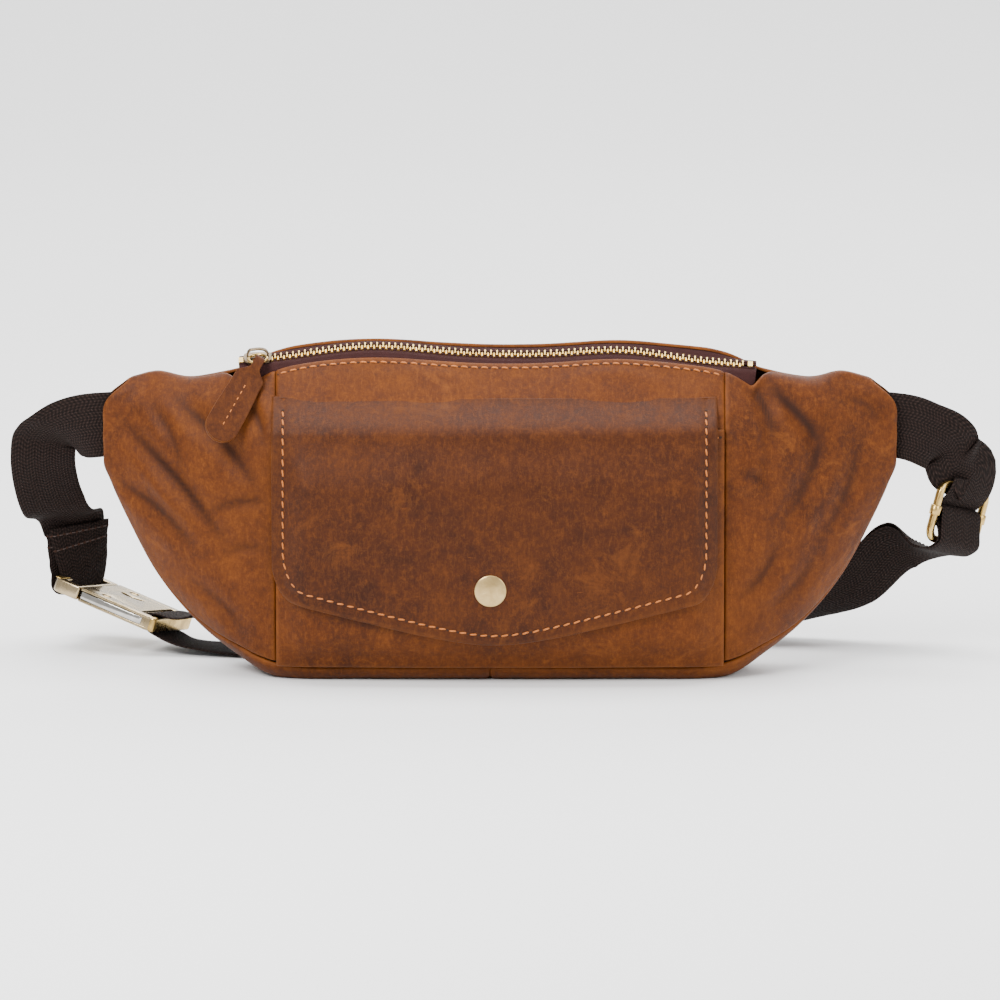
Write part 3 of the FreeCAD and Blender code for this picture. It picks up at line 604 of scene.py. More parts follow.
# creases: x, z at one end, x, z at the other, depth and half-width, seen from the front
FRONT_CREASES = [
    (-172, 112, -128, 66, 1.7, 5.0), (-176, 88, -140, 60, 1.3, 4.5),
    (-150, 128, -112, 92, 1.5, 5.5), (-133, 78, -106, 84, 1.2, 3.6),
    (-160, 122, -146, 96, 1.0, 3.6), (-128, 58, -106, 62, 0.9, 3.2),
    (-141, 44, -118, 22, 0.9, 4.0), (-120, 132, -108, 112, 1.2, 3.6),
    (-165, 100, -152, 74, -0.8, 4.0), (-121, 50, -110, 28, -0.7, 4.5),
    (112, 140, 126, 112, 1.6, 4.6), (122, 136, 150, 104, 1.8, 5.5),
    (150, 118, 132, 74, 1.2, 5.0), (166, 108, 150, 66, 1.0, 4.5),
    (108, 98, 124, 88, 1.0, 3.4), (128, 64, 112, 40, 1.1, 4.6),
    (146, 58, 126, 34, 0.8, 4.0), (160, 124, 176, 112, 0.9, 3.6),
    (118, 118, 112, 92, -0.9, 4.0), (142, 92, 136, 60, -0.7, 4.4),
    (-60, 141, -20, 143, 0.5, 2.6), (30, 142, 74, 140, 0.5, 2.6),
]
BACK_CREASES = [
    (-150, 120, -60, 96, 1.2, 7.0), (140, 122, 70, 92, 1.2, 7.0),
    (-165, 88, -110, 52, 1.0, 6.0), (162, 92, 112, 50, 1.1, 6.0),
    (-40, 128, 30, 118, 0.8, 6.0), (-90, 40, -20, 30, 0.7, 6.0), (100, 34, 30, 26, 0.7, 6.0),
]


def crease_at(p, creases):
    """The depth of the creases at a point, and how far into one it lies, which sets the painted shade
    in the creases.
    """
    depth, inside = 0.0, 0.0
    for x0, z0, x1, z1, deep, half in creases:
        dx, dz = x1 - x0, z1 - z0
        long = dx * dx + dz * dz
        t = min(max(((p.x - x0) * dx + (p.z - z0) * dz) / long, -0.2), 1.2)
        bow = 5.0 * math.sin(math.pi * t)
        ex, ez = p.x - x0 - dx * t, p.z - z0 - dz * t
        side = (ex * dz - ez * dx) / math.sqrt(long) + bow * 0.5
        off = math.hypot(ex, ez) if t in (-0.2, 1.2) else abs(side)
        fade = smooth(1.2 - abs(t - 0.5) * 1.7)
        ridge = math.exp(-(off / half) ** 2) - 0.55 * math.exp(-((off - half * 1.7) / half) ** 2)
        depth += deep * fade * ridge
        inside = max(inside, fade * max(0.0, deep) * math.exp(-(off / half * 2.2) ** 2))
    return depth, inside


def swell(p, size=1.0):
    """The broad unevenness of soft leather, in millimetres."""
    return size * (
        0.85 * noise.noise(p / 34.0)
        + 0.42 * noise.noise(p / 15.0 + V((7.1, 0, 0)))
        + 0.17 * noise.noise(p / 6.5 + V((0, 3.3, 0))))


def lengths(row):
    """The distance along a row of points, from its first."""
    out = [0.0]
    for a, b in zip(row, row[1:]):
        out.append(out[-1] + (b - a).length)
    return out


def pillow(distance, radius=2.4, sink=1.1):
    """How far a surface drops towards a turned edge."""
    t = 1 - min(distance / radius, 1.0)
    return sink * (1 - math.sqrt(1 - t * t * 0.98))


def free_lift(p, size, fold, distance):
    """The swell and folds of the leather at a distance from its nearest seam."""
    return (swell(p, size) - fold) * (0.15 + 0.85 * smooth(distance / SEAM_HOLD))


def panel(name, x_low, x_high, turn_from, turn_to, across, around, creases, size=1.0):
    """A leather panel on the pouch's surface, sunk along its seams."""
    xs = spread_to_ends(x_low, x_high, across)
    outer, inner, deep = [], [], []
    for x in xs:
        turns = spread_to_ends(turn_from(x), turn_to(x), around)
        row = [surface(x, turn) for turn in turns]
        run = lengths(row)
        outer_row, inner_row = [], []
        for turn, p, s in zip(turns, row, run):
            n = normal_at(x, turn)
            near_side = min(x - x_low, x_high - x)
            near_end = min(s, run[-1] - s)
            near = min(near_side, near_end)
            fold, inside = crease_at(p, creases)
            lift = free_lift(p, size, fold, near)
            # the stitched seam draws the leather in, a little at each stitch
            pull_in = 0.22 * (1 - smooth(near_side / SEAM_HOLD))
            pucker = pull_in * math.sin(p.z / 1.9 + 2 * math.sin(p.z / 9))
            drop = pillow(near_side) + pillow(near_end) - lift + pucker
            outer_row.append(warp(p + n * min(drop, MOST_SUNK)))
            inner_row.append(warp(p + n * (LEATHER + max(min(drop, 0.0), -1.0))))
            # painted shade, stored for the material: how far into a crease valley the point lies,
            # held back near the seams
            deep.append(inside * smooth(near / SEAM_HOLD))
        outer.append(outer_row)
        inner.append(inner_row)
    piece = leather_sheet(name, outer, inner, LEATHER_SKIN)
    rest = len(piece.data.vertices) - len(deep)
    colour_by(piece, "painted_crease_shade", deep + [0.0] * rest)
    return piece


def closing(x):
    """0 along the zip, rising to 1 where the wings' top seam has closed."""
    end = -ZIP_LEFT if x < 0 else ZIP_RIGHT
    return smooth((abs(x) - end + 3) / 12)


def front_top(x):
    """The turn where the front and wings end at the top."""
    return FRONT_ZIP_EDGE + (91.5 - FRONT_ZIP_EDGE) * closing(x)


def rear_top(x):
    """The turn where the back ends at the top."""
    return REAR_ZIP_EDGE + (88.5 - REAR_ZIP_EDGE) * closing(x)


def front_foot(x):
    """The turn where the front and wings meet the gusset."""
    return FRONT_SEAM + 30 * smooth((abs(x) - SEAM_X) / 55)


def back_foot(x):
    """The turn where the back meets the gusset."""
    return BACK_SEAM - 30 * smooth((abs(x) - SEAM_X) / 55)


def pouch():
    """Front, wings and back, and the gusset under them in two strips."""
    gap, seam = 0.1, SEAM_X
    front = panel("front_leather", -seam + gap, seam - gap, front_foot, front_top,
                  150, 110, FRONT_CREASES, FRONT_SWELL)
    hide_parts("front_panel")
    for side, low, high in (("left", -TIP_X, -seam - gap), ("right", seam + gap, TIP_X)):
        wing = panel(side + "_wing_leather", low, high, front_foot, front_top,
                     90, 110, FRONT_CREASES, 1.15)
        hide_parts(side + "_wing")
    back = panel("back_leather", -TIP_X, TIP_X, back_foot, rear_top, 200, 90, BACK_CREASES)
    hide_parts("back_panel")
    for side, low, high in (("left", -TIP_X, GUSSET_JOIN - gap), ("right", GUSSET_JOIN + gap, TIP_X)):
        strip = panel(
            side + "_gusset_leather", low, high,
            lambda x: front_foot(x) + 0.6 + 1.2 * abs(x) / TIP_X,
            lambda x: 360 + back_foot(x) - 0.9 - 1.2 * abs(x) / TIP_X,
            110, 44, [], 0.25)
        for vertex in strip.data.vertices:
            vertex.co.z = max(vertex.co.z, 0.0)
        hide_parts("bottom_gusset_" + side)


def lining():
    """The cloth bag inside, in two halves."""
    under, reach = LEATHER + 1.2, 110
    for name, start, stop in (
            ("front", lambda x: front_top(x) + 10, lambda x: 268.0),
            ("back", lambda x: rear_top(x) - 12, lambda x: -90.0)):
        outer, inner = [], []
        for x in spread_to_ends(-reach, reach, 60):
            turns = spread(start(x), stop(x), 40)
            places = [(surface(x, t), normal_at(x, t)) for t in turns]
            ripple = [0.5 * noise.noise(p / 12.0) for p, _ in places]
            outer.append([p + n * (under + r + 0.3) for (p, n), r in zip(places, ripple)])
            inner.append([p + n * (under + r + 0.9) for (p, n), r in zip(places, ripple)])
        points, faces, _ = slab(outer, inner)
        piece = add("lining_" + name + "_cloth", points, faces, LINING_SKIN)
        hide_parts("lining_" + name)


# ------------------------------------------------------------ flap pocket
FLAP_LEFT, FLAP_RIGHT, FLAP_TOP = -104.5, 99.5, 129.0
POCKET_FOOT, POCKET_TOP, POCKET_ROOM = 7.0, 117.5, 6.4
FLAP_CORNER, FLAP_POINT = 47.0, 19.4
LINING_THICK, OUTER_THICK, GLUE = 1.0, 1.6, 0.3
SNAP_X, SNAP_Z, SNAP_RADIUS = -4.4, 45.5, 7.3
# how far inside their edges the rows of stitching lie
FLAP_TUCK, MOUTH_TUCK, ZIP_TUCK = 5.2, 3.2, 2.9


def flap_foot(x, tuck=0.0):
    """z of the flap's lower edge, or of a line tucked inside it."""
    middle = (FLAP_LEFT + FLAP_RIGHT) / 2
    half = (FLAP_RIGHT - FLAP_LEFT) / 2 - tuck
    t = min(abs(x - middle) / half, 1.0)
    slope = FLAP_POINT + (FLAP_CORNER - 6 - FLAP_POINT) * (math.sqrt(t * t + 0.03) - 0.173) / 0.842
    near_side = max(0.0, (t - 0.9) / 0.1)
    return slope + 16 * (1 - math.sqrt(max(0.0, 1 - near_side**2))) + tuck


def soft_front(x, z):
    """The shared unevenness of the pocket and the flap over it."""
    p = V((x, 0, z))
    return 0.45 * noise.noise(p / 42.0 + V((3, 1, 0))) + 0.22 * noise.noise(p / 17.0)


def pocket_y(x, z):
    """y of the pocket panel's inner face, which stands off the pouch except at its seams."""
    side = smooth((SEAM_X - abs(x)) / 15)
    foot = smooth((z - 9) / 16)
    slack = 1 - 0.78 * smooth((z - 88) / 28)
    return front_y(x, z) - 0.6 - POCKET_ROOM * slack * side * foot - soft_front(x, z) * side


def flap_inner(x, z):
    """y of the flap's inner face: close to the front panel at its top, then over the pocket."""
    over = pocket_y(x, z) - LEATHER - 0.9
    t = smooth((z - 116) / 15)
    return over * (1 - t) + (front_y(x, z) + 2.3) * t


def flap_face(x, z):
    """y of the flap's outer face, dished a little round the snap."""
    dish = 0.55 * math.exp(-((math.hypot(x - SNAP_X, z - SNAP_Z) / 11) ** 4))
    fine = 0.10 * noise.noise(V((x, 9, z)) / 8.0)
    return flap_inner(x, z) - LINING_THICK - GLUE - OUTER_THICK + dish + fine


def pocket():
    """The pocket's panel, sunk along the seams that hold it."""
    outer, inner, run = [], [], SEAM_X - 0.4
    for x in spread_to_ends(-run, run, 130):
        outer_row, inner_row = [], []
        for z in spread_to_ends(POCKET_FOOT, POCKET_TOP, 80):
            y = pocket_y(x, z)
            drop = pillow(run - abs(x), 3.0, 1.2) + pillow(POCKET_TOP - z, 1.6, 0.9) * 0.8
            drop += pillow(z - POCKET_FOOT, 3.0, 1.3)
            outer_row.append(V((x, y - LEATHER + min(drop, 1.6), z)))
            inner_row.append(V((x, y, z)))
        outer.append(outer_row)
        inner.append(inner_row)
    piece = leather_sheet("pocket_leather", outer, inner, LEATHER_SKIN)
    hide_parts("pocket_panel")


def flap():
    """The flap's outer leather, from its seam down to its foot, rolled over at its top."""
    outer, inner = [], []
    root_z = FLAP_TOP + 2.0
    for x in spread_to_ends(FLAP_LEFT, FLAP_RIGHT, 150):
        foot = flap_foot(x)
        shape = [V((x, front_y(x, root_z) + 1.2, root_z + 0.5)),
                 V((x, front_y(x, root_z) + 0.2, root_z + 0.35))]
        for z in spread_to_ends(root_z, foot, 92):
            shape.append(V((x, flap_face(x, z), z)))
        side = min(x - FLAP_LEFT, FLAP_RIGHT - x)
        outer_row, inner_row = [], []
        for k, p in enumerate(shape):
            n = V((1, 0, 0)).cross(way_at(shape, k)).normalized()
            drop = pillow(side, 1.5, 0.7)
            if k > 3:
                # stitching draws the layers together on a line inside the edge
                line = min(side, p.z - flap_foot(min(max(x, FLAP_LEFT + 5), FLAP_RIGHT - 5)))
                drop += pillow(p.z - foot, 1.5, 0.7)
                drop += 0.38 * math.exp(-(((line - FLAP_TUCK) / 1.5) ** 2))
            outer_row.append(p + n * drop)
            inner_row.append(p + n * OUTER_THICK)
        outer.append(outer_row)
        inner.append(inner_row)
    piece = leather_sheet("flap_leather", outer, inner, FLAP_SKIN, None)
    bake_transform(piece)
    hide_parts("flap_outer", "flap_fold")


def flap_backing():
    """The raw leather inside the flap, which starts below its hinge."""
    margin, top = 0.5, FLAP_TOP - 8
    outer, inner = [], []
    for x in spread_to_ends(FLAP_LEFT + margin, FLAP_RIGHT - margin, 120):
        rows = spread_to_ends(top, flap_foot(x) + margin, 60)
        outer.append([V((x, flap_inner(x, z) - LINING_THICK - 0.15, z)) for z in rows])
        inner.append([V((x, flap_inner(x, z), z)) for z in rows])
    backing = leather_sheet("flap_backing", outer, inner, RAW_SIDE, "flap_body")
    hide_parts("flap_lining")


# ------------------------------------------------------------ stitching
def walk(line, pitch, start=0.5):
    """Evenly spaced places along a line of points, with the way on from each."""
    run = lengths(line)
    count = int(run[-1] / pitch)
    step = run[-1] / count
    places, k = [], 0
    for i in range(count):
        s = (i + start) * step
        while run[k + 1] < s:
            k += 1
        t = (s - run[k]) / (run[k + 1] - run[k])
        places.append((line[k].lerp(line[k + 1], t), (line[k + 1] - line[k]).normalized()))
    return places


def stitches(name, line, out, pitch, body=ROOT, slant=10.0, long=None, thread=None, thick=0.46,
             sink=0.12):
    """A row of sewn stitches, and dark discs between them for the painted shade of the needle holes.
    out(p) points off the face.
    """
    thread = thread or THREAD
    half = (long or pitch * 0.74) / 2
    sewn = []
    for p, way in walk(line, pitch):
        up = out(p)
        side = way.cross(up).normalized()
        tilt = math.radians(slant)
        way = (way * math.cos(tilt) + side * math.sin(tilt)).normalized()
        side = way.cross(up).normalized()
        sections = []
        for t in (-1.0, -0.82, -0.45, 0.0, 0.45, 0.82, 1.0):
            r = thick * math.sqrt(max(1 - abs(t) ** 3 * 0.86, 0.05))
            centre = p + way * (t * half) + up * (thick * 0.62 - sink - 0.62 * t**4)
            sections.append([centre + (side * c + up * s * 0.85) * r
                             for c, s in circle(0, 0, 1, 8)])
        sewn.append(tube(sections))
    row = add(name, *gathered(sewn), thread, body)
    # the needle holes are dark discs laid on the leather: painted shade of the holes
    pierced = []
    for p, way in walk(line, pitch, 0.0) + [(line[-1], (line[-1] - line[-2]).normalized())]:
        up = out(p)
        side = way.cross(up).normalized()
        rings = []
        for lift, r in ((-0.5, 0.30), (0.02, 0.62), (0.06, 0.40)):
            rings.append([p + up * lift + (way * c * 1.15 + side * s) * r
                          for c, s in circle(0, 0, 1, 10)])
        pierced.append(tube(rings))
    holes = add(name + "_holes", *gathered(pierced), NEEDLE_HOLE_SHADE, body)


def sew():
    """The rows of stitching on the leather."""
    towards = V((0, -1, 0))
    start = FLAP_TOP - 3.0
    left, right = FLAP_LEFT + FLAP_TUCK, FLAP_RIGHT - FLAP_TUCK
    line = [(left, z) for z in spread(start, flap_foot(left, FLAP_TUCK) + 0.2, 30)]
    line += [(x, flap_foot(x, FLAP_TUCK)) for x in spread_to_ends(left, right, 140)[1:-1]]
    line += [(right, z) for z in spread(flap_foot(right, FLAP_TUCK) + 0.2, start, 30)]
    line = [V((x, flap_face(x, z) + 0.34, z)) for x, z in line]
    stitches("flap_stitching", line, lambda p: towards, 4.8, "flap_body", -9)
    # under the zip's front edge
    edge = []
    for x in spread(-SEAM_X + 1.5, SEAM_X - 1.5, 90):
        turn = FRONT_ZIP_EDGE
        while (surface(x, turn) - surface(x, FRONT_ZIP_EDGE)).length < ZIP_TUCK:
            turn += 0.1
        p = surface(x, turn)
        lift = free_lift(p, FRONT_SWELL, crease_at(p, FRONT_CREASES)[0], ZIP_TUCK)
        edge.append(warp(p - normal_at(x, turn) * lift))
    stitches("zip_edge_stitching", edge, lambda p: V((0, -0.62, 0.78)), 4.6, slant=6)
    # along the pocket's mouth, beside and under the flap
    level = POCKET_TOP - MOUTH_TUCK
    mouth = [V((x, pocket_y(x, level) - LEATHER, level))
             for x in spread(-SEAM_X + 2.2, SEAM_X - 2.2, 120)]
    stitches("pocket_mouth_stitching", mouth, lambda p: towards, 4.8, slant=6)


# ------------------------------------------------------------ zip
ZIP_TILT, ZIP_Y, ZIP_HEIGHT = math.radians(18.0), -2.0, 147.5
ARC, ARC_X = 1700.0, -15.0
TOOTH_PITCH = 2.75
SLIDER_X = ZIP_LEFT + 9.0


def zip_place(x):
    """The frame of the zip's chain at x: local x along it, y to the rear, z out."""
    angle = math.asin((x - ARC_X) / ARC)
    centre = V((ARC_X, ZIP_Y, ZIP_HEIGHT - ARC))
    base = centre + V((math.sin(angle), 0, math.cos(angle))) * ARC
    return (Matrix.Translation(base) @ Matrix.Rotation(angle, 4, "Y")
            @ Matrix.Rotation(ZIP_TILT, 4, "X"))


def chain_place(x):
    """The chain's frame, lifted with the soft mouth."""
    lean = math.atan((zip_wave(x + 1) - zip_wave(x - 1)) / 2)
    return (Matrix.Translation(V((0, 0, zip_wave(x)))) @ zip_place(x)
            @ Matrix.Rotation(-lean, 4, "Y"))


def tooth_shape():
    """One tooth: two legs clamped on the tape, a waist, and a rounded head with a nub."""
    outline = [  # distance from the chain's middle, half-width along the chain
        (0.66, 0.50), (0.38, 0.64), (-0.10, 0.66), (-0.62, 0.46), (-1.20, 0.44),
        (-1.85, 0.62), (-2.95, 0.64), (-3.10, 0.50)]
    sections = []
    for y, half in outline:
        head = smooth((y + 0.7) / 0.9)
        tall = 0.98 + 0.16 * (1 - head) - 0.30 * smooth((y - 0.30) / 0.34)
        sections.append([V((half * c, y, tall * s)) for c, s in squared(12, 5)])
    nub = []
    for h, r in ((0.80, 0.34), (1.12, 0.30), (1.20, 0.16)):
        nub.append([V((x, y, h)) for x, y in circle(0, 0.08, r, 8)])
    return gathered([tube(sections), tube(nub)])


def teeth():
    """The two rows, the rear one half a pitch along so that they mesh."""
    shape, quads = tooth_shape()
    count = int((ZIP_RIGHT - ZIP_LEFT - 15) / TOOTH_PITCH)
    for side, start in (("front", 0.0), ("rear", 0.5)):
        row_of_teeth = []
        for k in range(count):
            place = chain_place(ZIP_LEFT + 10 + (k + start) * TOOTH_PITCH)
            if side == "rear":
                place = place @ Matrix.Rotation(math.pi, 4, "Z")
            row_of_teeth.append(([place @ p for p in shape], quads))
        row = add("teeth_" + side, *gathered(row_of_teeth), TOOTH_BRASS)
        soft_shade(row.data, 50)
        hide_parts("zip_teeth_" + side)


def tapes():
    """Each tape runs flat from beside the teeth, then down under its leather edge."""
    for label, side in (("front", -1), ("rear", 1)):
        top, under = [], []
        for x in spread(ZIP_LEFT + 0.5, ZIP_RIGHT - 0.5, 170):
            place = chain_place(x)
            near, flat = (place @ V((0, side * y, 0)) for y in (1.35, 5.4))
            turn = front_top(x) + 1.5 if side < 0 else rear_top(x) - 1.5
            edge = warp(surface(x, turn) + normal_at(x, turn) * (LEATHER + 0.4))
            wave = 0.28 * noise.noise(V((x / 13.0, side * 4, 0)))
            line = [near, near.lerp(flat, 0.5), flat, flat.lerp(edge, 0.5) + V((0, 0, wave + 0.3)),
                    edge]
            row = [p for _, p in curve_through(line, 0.8)]
            row = [row[round(k * (len(row) - 1) / 13)] for k in range(14)]
            lift = V((0, 0, 0.28))
            top.append([p + lift for p in row])
            under.append([p - lift for p in row])
        points, faces, _ = slab(top, under)
        piece = add("zip_tape_cloth_" + label, points, faces, TAPE_SKIN)
        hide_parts("zip_tape_" + label)


def cord_edge(name, line, radius):
    """A thin woven cord along a line of points."""
    sections = []
    for k, p in enumerate(line):
        way = way_at(line, k)
        side = way.cross(V((0, 0, 1))).normalized()
        up = side.cross(way)
        sections.append([p + (side * c + up * s) * radius for c, s in circle(0, 0, 1, 8)])
    points, faces = tube(sections)
    piece = add(name, points, faces, TAPE_SKIN)


def tape_cords():
    """The cord that the teeth of each tape are clamped on."""
    radius = 0.42
    for label, side in (("front", -1), ("rear", 1)):
        line = [chain_place(x) @ V((0, side * 2.55, radius))
                for x in spread(ZIP_LEFT + 1, ZIP_RIGHT - 1, 160)]
        cord_edge("zip_cord_" + label, line, radius)


def slider():
    """The zip's slider: two shaped plates, a post and side flanges."""
    place = zip_place(SLIDER_X)
    body = "slider_body"
    half = [(-6.5, 2.0), (-6.2, 3.6), (-4.8, 4.7), (-1.5, 4.8), (3.0, 4.5), (5.6, 3.9), (6.5, 2.9)]
    outline = half + [(6.2, 0.0)] + mirrored(reversed(half), -1) + [(-6.9, 0.0)]
    top = plate("slider_top", [outline], 1.6, 2.7, 0.32, place, DARK_BRASS, body)
    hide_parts("zip_slider")
    foot = plate("slider_foot", [outline], -2.7, -1.6, 0.32, place, DARK_BRASS, body)
    post = plate("slider_post", [circle(-5.4, 0, 1.1)], -1.7, 1.7, 0.1, place, DARK_BRASS, body)
    for side in (-1, 1):
        line = mirrored([(-4.6, 3.7), (4.9, 3.1), (5.2, 3.9), (0.0, 4.6), (-4.4, 4.7)], side)
        for low, high in ((0.9, 1.8), (-1.8, -0.9)):
            plate(f"slider_flange_{side + 1}_{low > 0:d}", [line], low, high, 0.15,
                                place, DARK_BRASS, body)


def crown():
    """The arched bridge on the slider that the ring hangs on."""
    place = zip_place(SLIDER_X)
    arch = [(-4.7, 2.4), (-4.6, 4.6), (-3.6, 6.05), (-1.5, 6.45), (1.8, 6.4), (3.8, 5.6), (4.6, 4.2),
            (4.7, 2.4)]
    curve = [p for _, p in curve_through([V((x, 0, z)) for x, z in arch], 0.6)]
    sections = []
    for k, p in enumerate(curve):
        out = V((0, 1, 0)).cross(way_at(curve, k)).normalized()
        wide = 1.05 + 0.35 * abs(p.x) / 4.7
        sections.append([place @ (p + V((0, 1, 0)) * (wide * c) + out * (0.42 * s))
                         for c, s in squared(14, 3.5)])
    points, faces = tube(sections)
    bridge = add("slider_crown", points, faces, DARK_BRASS, "slider_body")
    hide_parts("zip_crown")


RING_RADIUS, RING_HEIGHT = 4.2, 3.6
TAB_RUN, TAB_WIDTH = V((25, 27, 41)), V((0.83, -0.05, -0.50))
TAB_END, TAB_NECK = -43.0, 2.15


def tab_place():
    """The frame of the pull tab: local y up along it, x across and z off its front."""
    eye = zip_place(SLIDER_X) @ V((0, -2 * RING_RADIUS, RING_HEIGHT))
    up = TAB_RUN.normalized()
    across = (TAB_WIDTH - up * TAB_WIDTH.dot(up)).normalized()
    turn = Matrix((across, up, across.cross(up))).transposed().to_4x4()
    return Matrix.Translation(eye) @ turn


def tab_width(y):
    """Half of the tab's width at a height."""
    if y > -3.0:
        return TAB_NECK
    shoulder = TAB_NECK + 4.6 * smooth((-3.0 - y) / 5.5)
    grow = shoulder + 0.9 * smooth((-8 - y) / 22)
    t = (y - TAB_END) / 7.6
    return grow if t > 1 else max(grow * math.sqrt(max(1 - (1 - t) ** 2, 0.0)), 0.6)


def pull():
    """A strip of leather folded round the ring, its two halves sewn down the middle."""
    place = tab_place()
    gap, loop, neck = 0.86, 2.35, -3.2
    front = [(TAB_END, gap), (-39, gap), (-30, gap), (-20, gap), (-11, gap), (-7.5, 1.15),
             (neck, loop), (0.6, loop)]
    bend = [(0.6 + loop * math.sin(a), loop * math.cos(a))
            for a in (k * math.pi / 8 for k in range(1, 8))]
    path = front + bend + [(y, -z) for y, z in reversed(front)]
    curve = [p for _, p in curve_through([V((0, y, z)) for y, z in path], 0.7)]
    outer, inner = [], []
    for k, p in enumerate(curve):
        out = V((1, 0, 0)).cross(way_at(curve, k)).normalized()
        wide = tab_width(p.y)
        thick = 0.44 + 0.36 * smooth((-4 - p.y) / 6)
        outer_row, inner_row = [], []
        for a in spread_to_ends(-1, 1, 25):
            edge = pillow((1 - abs(a)) * wide, 1.3, 0.55)
            end = pillow(p.y - TAB_END, 1.3, 0.5)
            sewn = 0.25 * math.exp(-((a * wide / 1.1) ** 2)) * smooth((-8 - p.y) / 3)
            curl = V((0, 0, 1)) * (0.9 * noise.noise(V((a * wide, p.y, 0)) / 20) * smooth(-p.y / 20))
            base = V((a * wide, p.y, p.z)) + curl
            outer_row.append(place @ (base - out * (thick - min(edge + end + sewn, thick * 0.9))))
            inner_row.append(place @ (base + out * (thick - 0.06)))
        outer.append(outer_row)
        inner.append(inner_row)
    tab = leather_sheet("pull_tab_leather", outer, inner, FLAP_SKIN, "tab_body",
                        wear=lambda p: 0.22)
    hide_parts("pull_tab")
    for label, side in (("front", 1), ("back", -1)):
        line = []
        for y in spread(-12, -36, 30):
            curl = 0.9 * noise.noise(V((0, y, 0)) / 20) * smooth(-y / 20)
            line.append(place @ V((0, y, side * 1.44 + curl)))
        up = (place.to_3x3() @ V((0, 0, side))).normalized()
        stitches("pull_tab_stitching_" + label, line, lambda p: up, 3.1, "tab_body", 0,
                 thick=0.3, sink=0.05)


# ------------------------------------------------------------ snap
def snap():
    """The snap's domed cap, on the flap's face."""
    face = flap_face(SNAP_X, SNAP_Z)
    place = Matrix.Translation(V((SNAP_X, face, SNAP_Z))) @ Matrix.Rotation(math.pi / 2, 4, "X")
    radius, top, rim = SNAP_RADIUS, 1.75, 0.72
    lip = radius - 0.35
    profile = [(0.01, -0.6), (radius - 0.5, -0.6), (radius - 0.1, -0.35), (radius, 0.1),
               (radius - 0.05, 0.42), (lip, rim)]
    dome = [lip * math.cos(a) for a in spread(0, math.pi / 2 - 0.02, 16)][1:]
    profile += [(r, rim + (top - rim) * (1 - (r / lip) ** 2)) for r in dome]
    cap = turned("snap_cap_dome", profile, place, CAP_BRASS, "flap_body", 96)
    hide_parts("snap_cap")


# ------------------------------------------------------------ webbing
WEB, THICK = 30.0, 1.5
BUCKLE_LONG, BUCKLE_ACROSS = V((47.4, -25.1, -15.9)), V((17.0, 35.5, -5.3))
BUCKLE_SIZE = 56.0
BUCKLE_TURN = frame_of((0, 0, 0), BUCKLE_LONG, BUCKLE_ACROSS)
BUCKLE = Matrix.Translation(
    V((-152.3, 52.7, 11.8)) - BUCKLE_TURN @ V((BUCKLE_SIZE, 0, 0))) @ BUCKLE_TURN
ADJUSTER = frame_of((212.0, 40, 66), (-7.8, -3.6, -28.8), (23.5, 28, -10))

# the doubled run, from the adjuster behind the pouch to the buckle
RUN = [
    ((186.3, 53, 48.5), (0.55, 0.45, -0.70)),
    ((165.6, 61, 29.5), (0.48, 0.52, -0.70)),
    ((140, 68, 17.0), (0.30, 0.80, -0.52)),
    ((105, 73, 8.5), (0.12, 0.97, -0.22)),
    ((60, 75, 2.2), (0.02, 1, -0.04)),
    ((0, 68, 1.0), (-0.10, 1, 0)),
    ((-60, 56, 1.0), (-0.22, 1, 0)),
    ((-105, 45.5, 1.0), (-0.1, 1, 0)),
]


def webbing(name, route, body=ROOT):
    """Woven webbing along a route of centres and width directions, selvedges rounded."""
    centres = [V(c) for c, _ in route]
    widths = [V(w).normalized() for _, w in route]
    places = curve_through(centres, 1.3)
    line = [p for _, p in places]
    along = lengths(line)
    across = spread_to_ends(-1, 1, 23)
    sections = []
    for k, (u, p) in enumerate(places):
        i = min(int(u), len(route) - 2)
        t = smooth(u - i) * 0.5 + (u - i) * 0.5
        w = widths[i] * (1 - t) + widths[i + 1] * t
        way = way_at(line, k)
        w = (w - way * w.dot(way)).normalized()
        n = way.cross(w)
        sag = 0.30 * noise.noise(p / 24.0)
        top, low = [], []
        for a in across:
            half = THICK / 2 * (max(1 - abs(a) ** 9, 0.0)) ** 0.5
            ripple = 0.10 * noise.noise(V((along[k] / 5.0, a * 4, 0)))
            cup = 0.35 * (a * a - 0.4) * noise.noise(V((along[k] / 30.0, 5, 0))) + ripple + sag
            centre = p + w * (a * WEB / 2) + n * cup
            top.append(centre + n * half)
            low.append(centre - n * half)
        sections.append(top + low[-2:0:-1])
    points, faces = tube(sections)
    piece = add(name, points, faces, WEBBING_SKIN, body)
    layer = piece.data.uv_layers.new(name="weave")
    m = len(sections[0])
    count = len(across)
    for poly in piece.data.polygons:
        for corner in poly.loop_indices:
            vertex = piece.data.loops[corner].vertex_index
            k, j = divmod(vertex, m)
            a = across[j] if j < count else across[2 * count - 2 - j]
            layer.data[corner].uv = (along[k], a * WEB / 2 + WEB / 2)
    return piece, sections


def from_local(place, *points):
    """Route places in a fitting's own frame, all with its width direction."""
    w = place.to_3x3() @ V((0, 1, 0))
    return [(tuple(place @ V(p)), tuple(w)) for p in points]


def strap_row(name, sections, at, out, body, count=23):
    """A row of dark stitches across webbing, at a section."""
    row = sections[at][2:count - 2] if out > 0 else sections[at][count + 1:-1]
    a, b = sections[at][count // 2], sections[at][count + count // 2 - 1]
    up = (a - b).normalized() * out
    stitches(name, row, lambda p: up, 3.0, body, 0, thread=DARK_THREAD, thick=0.34,
             sink=0.0)


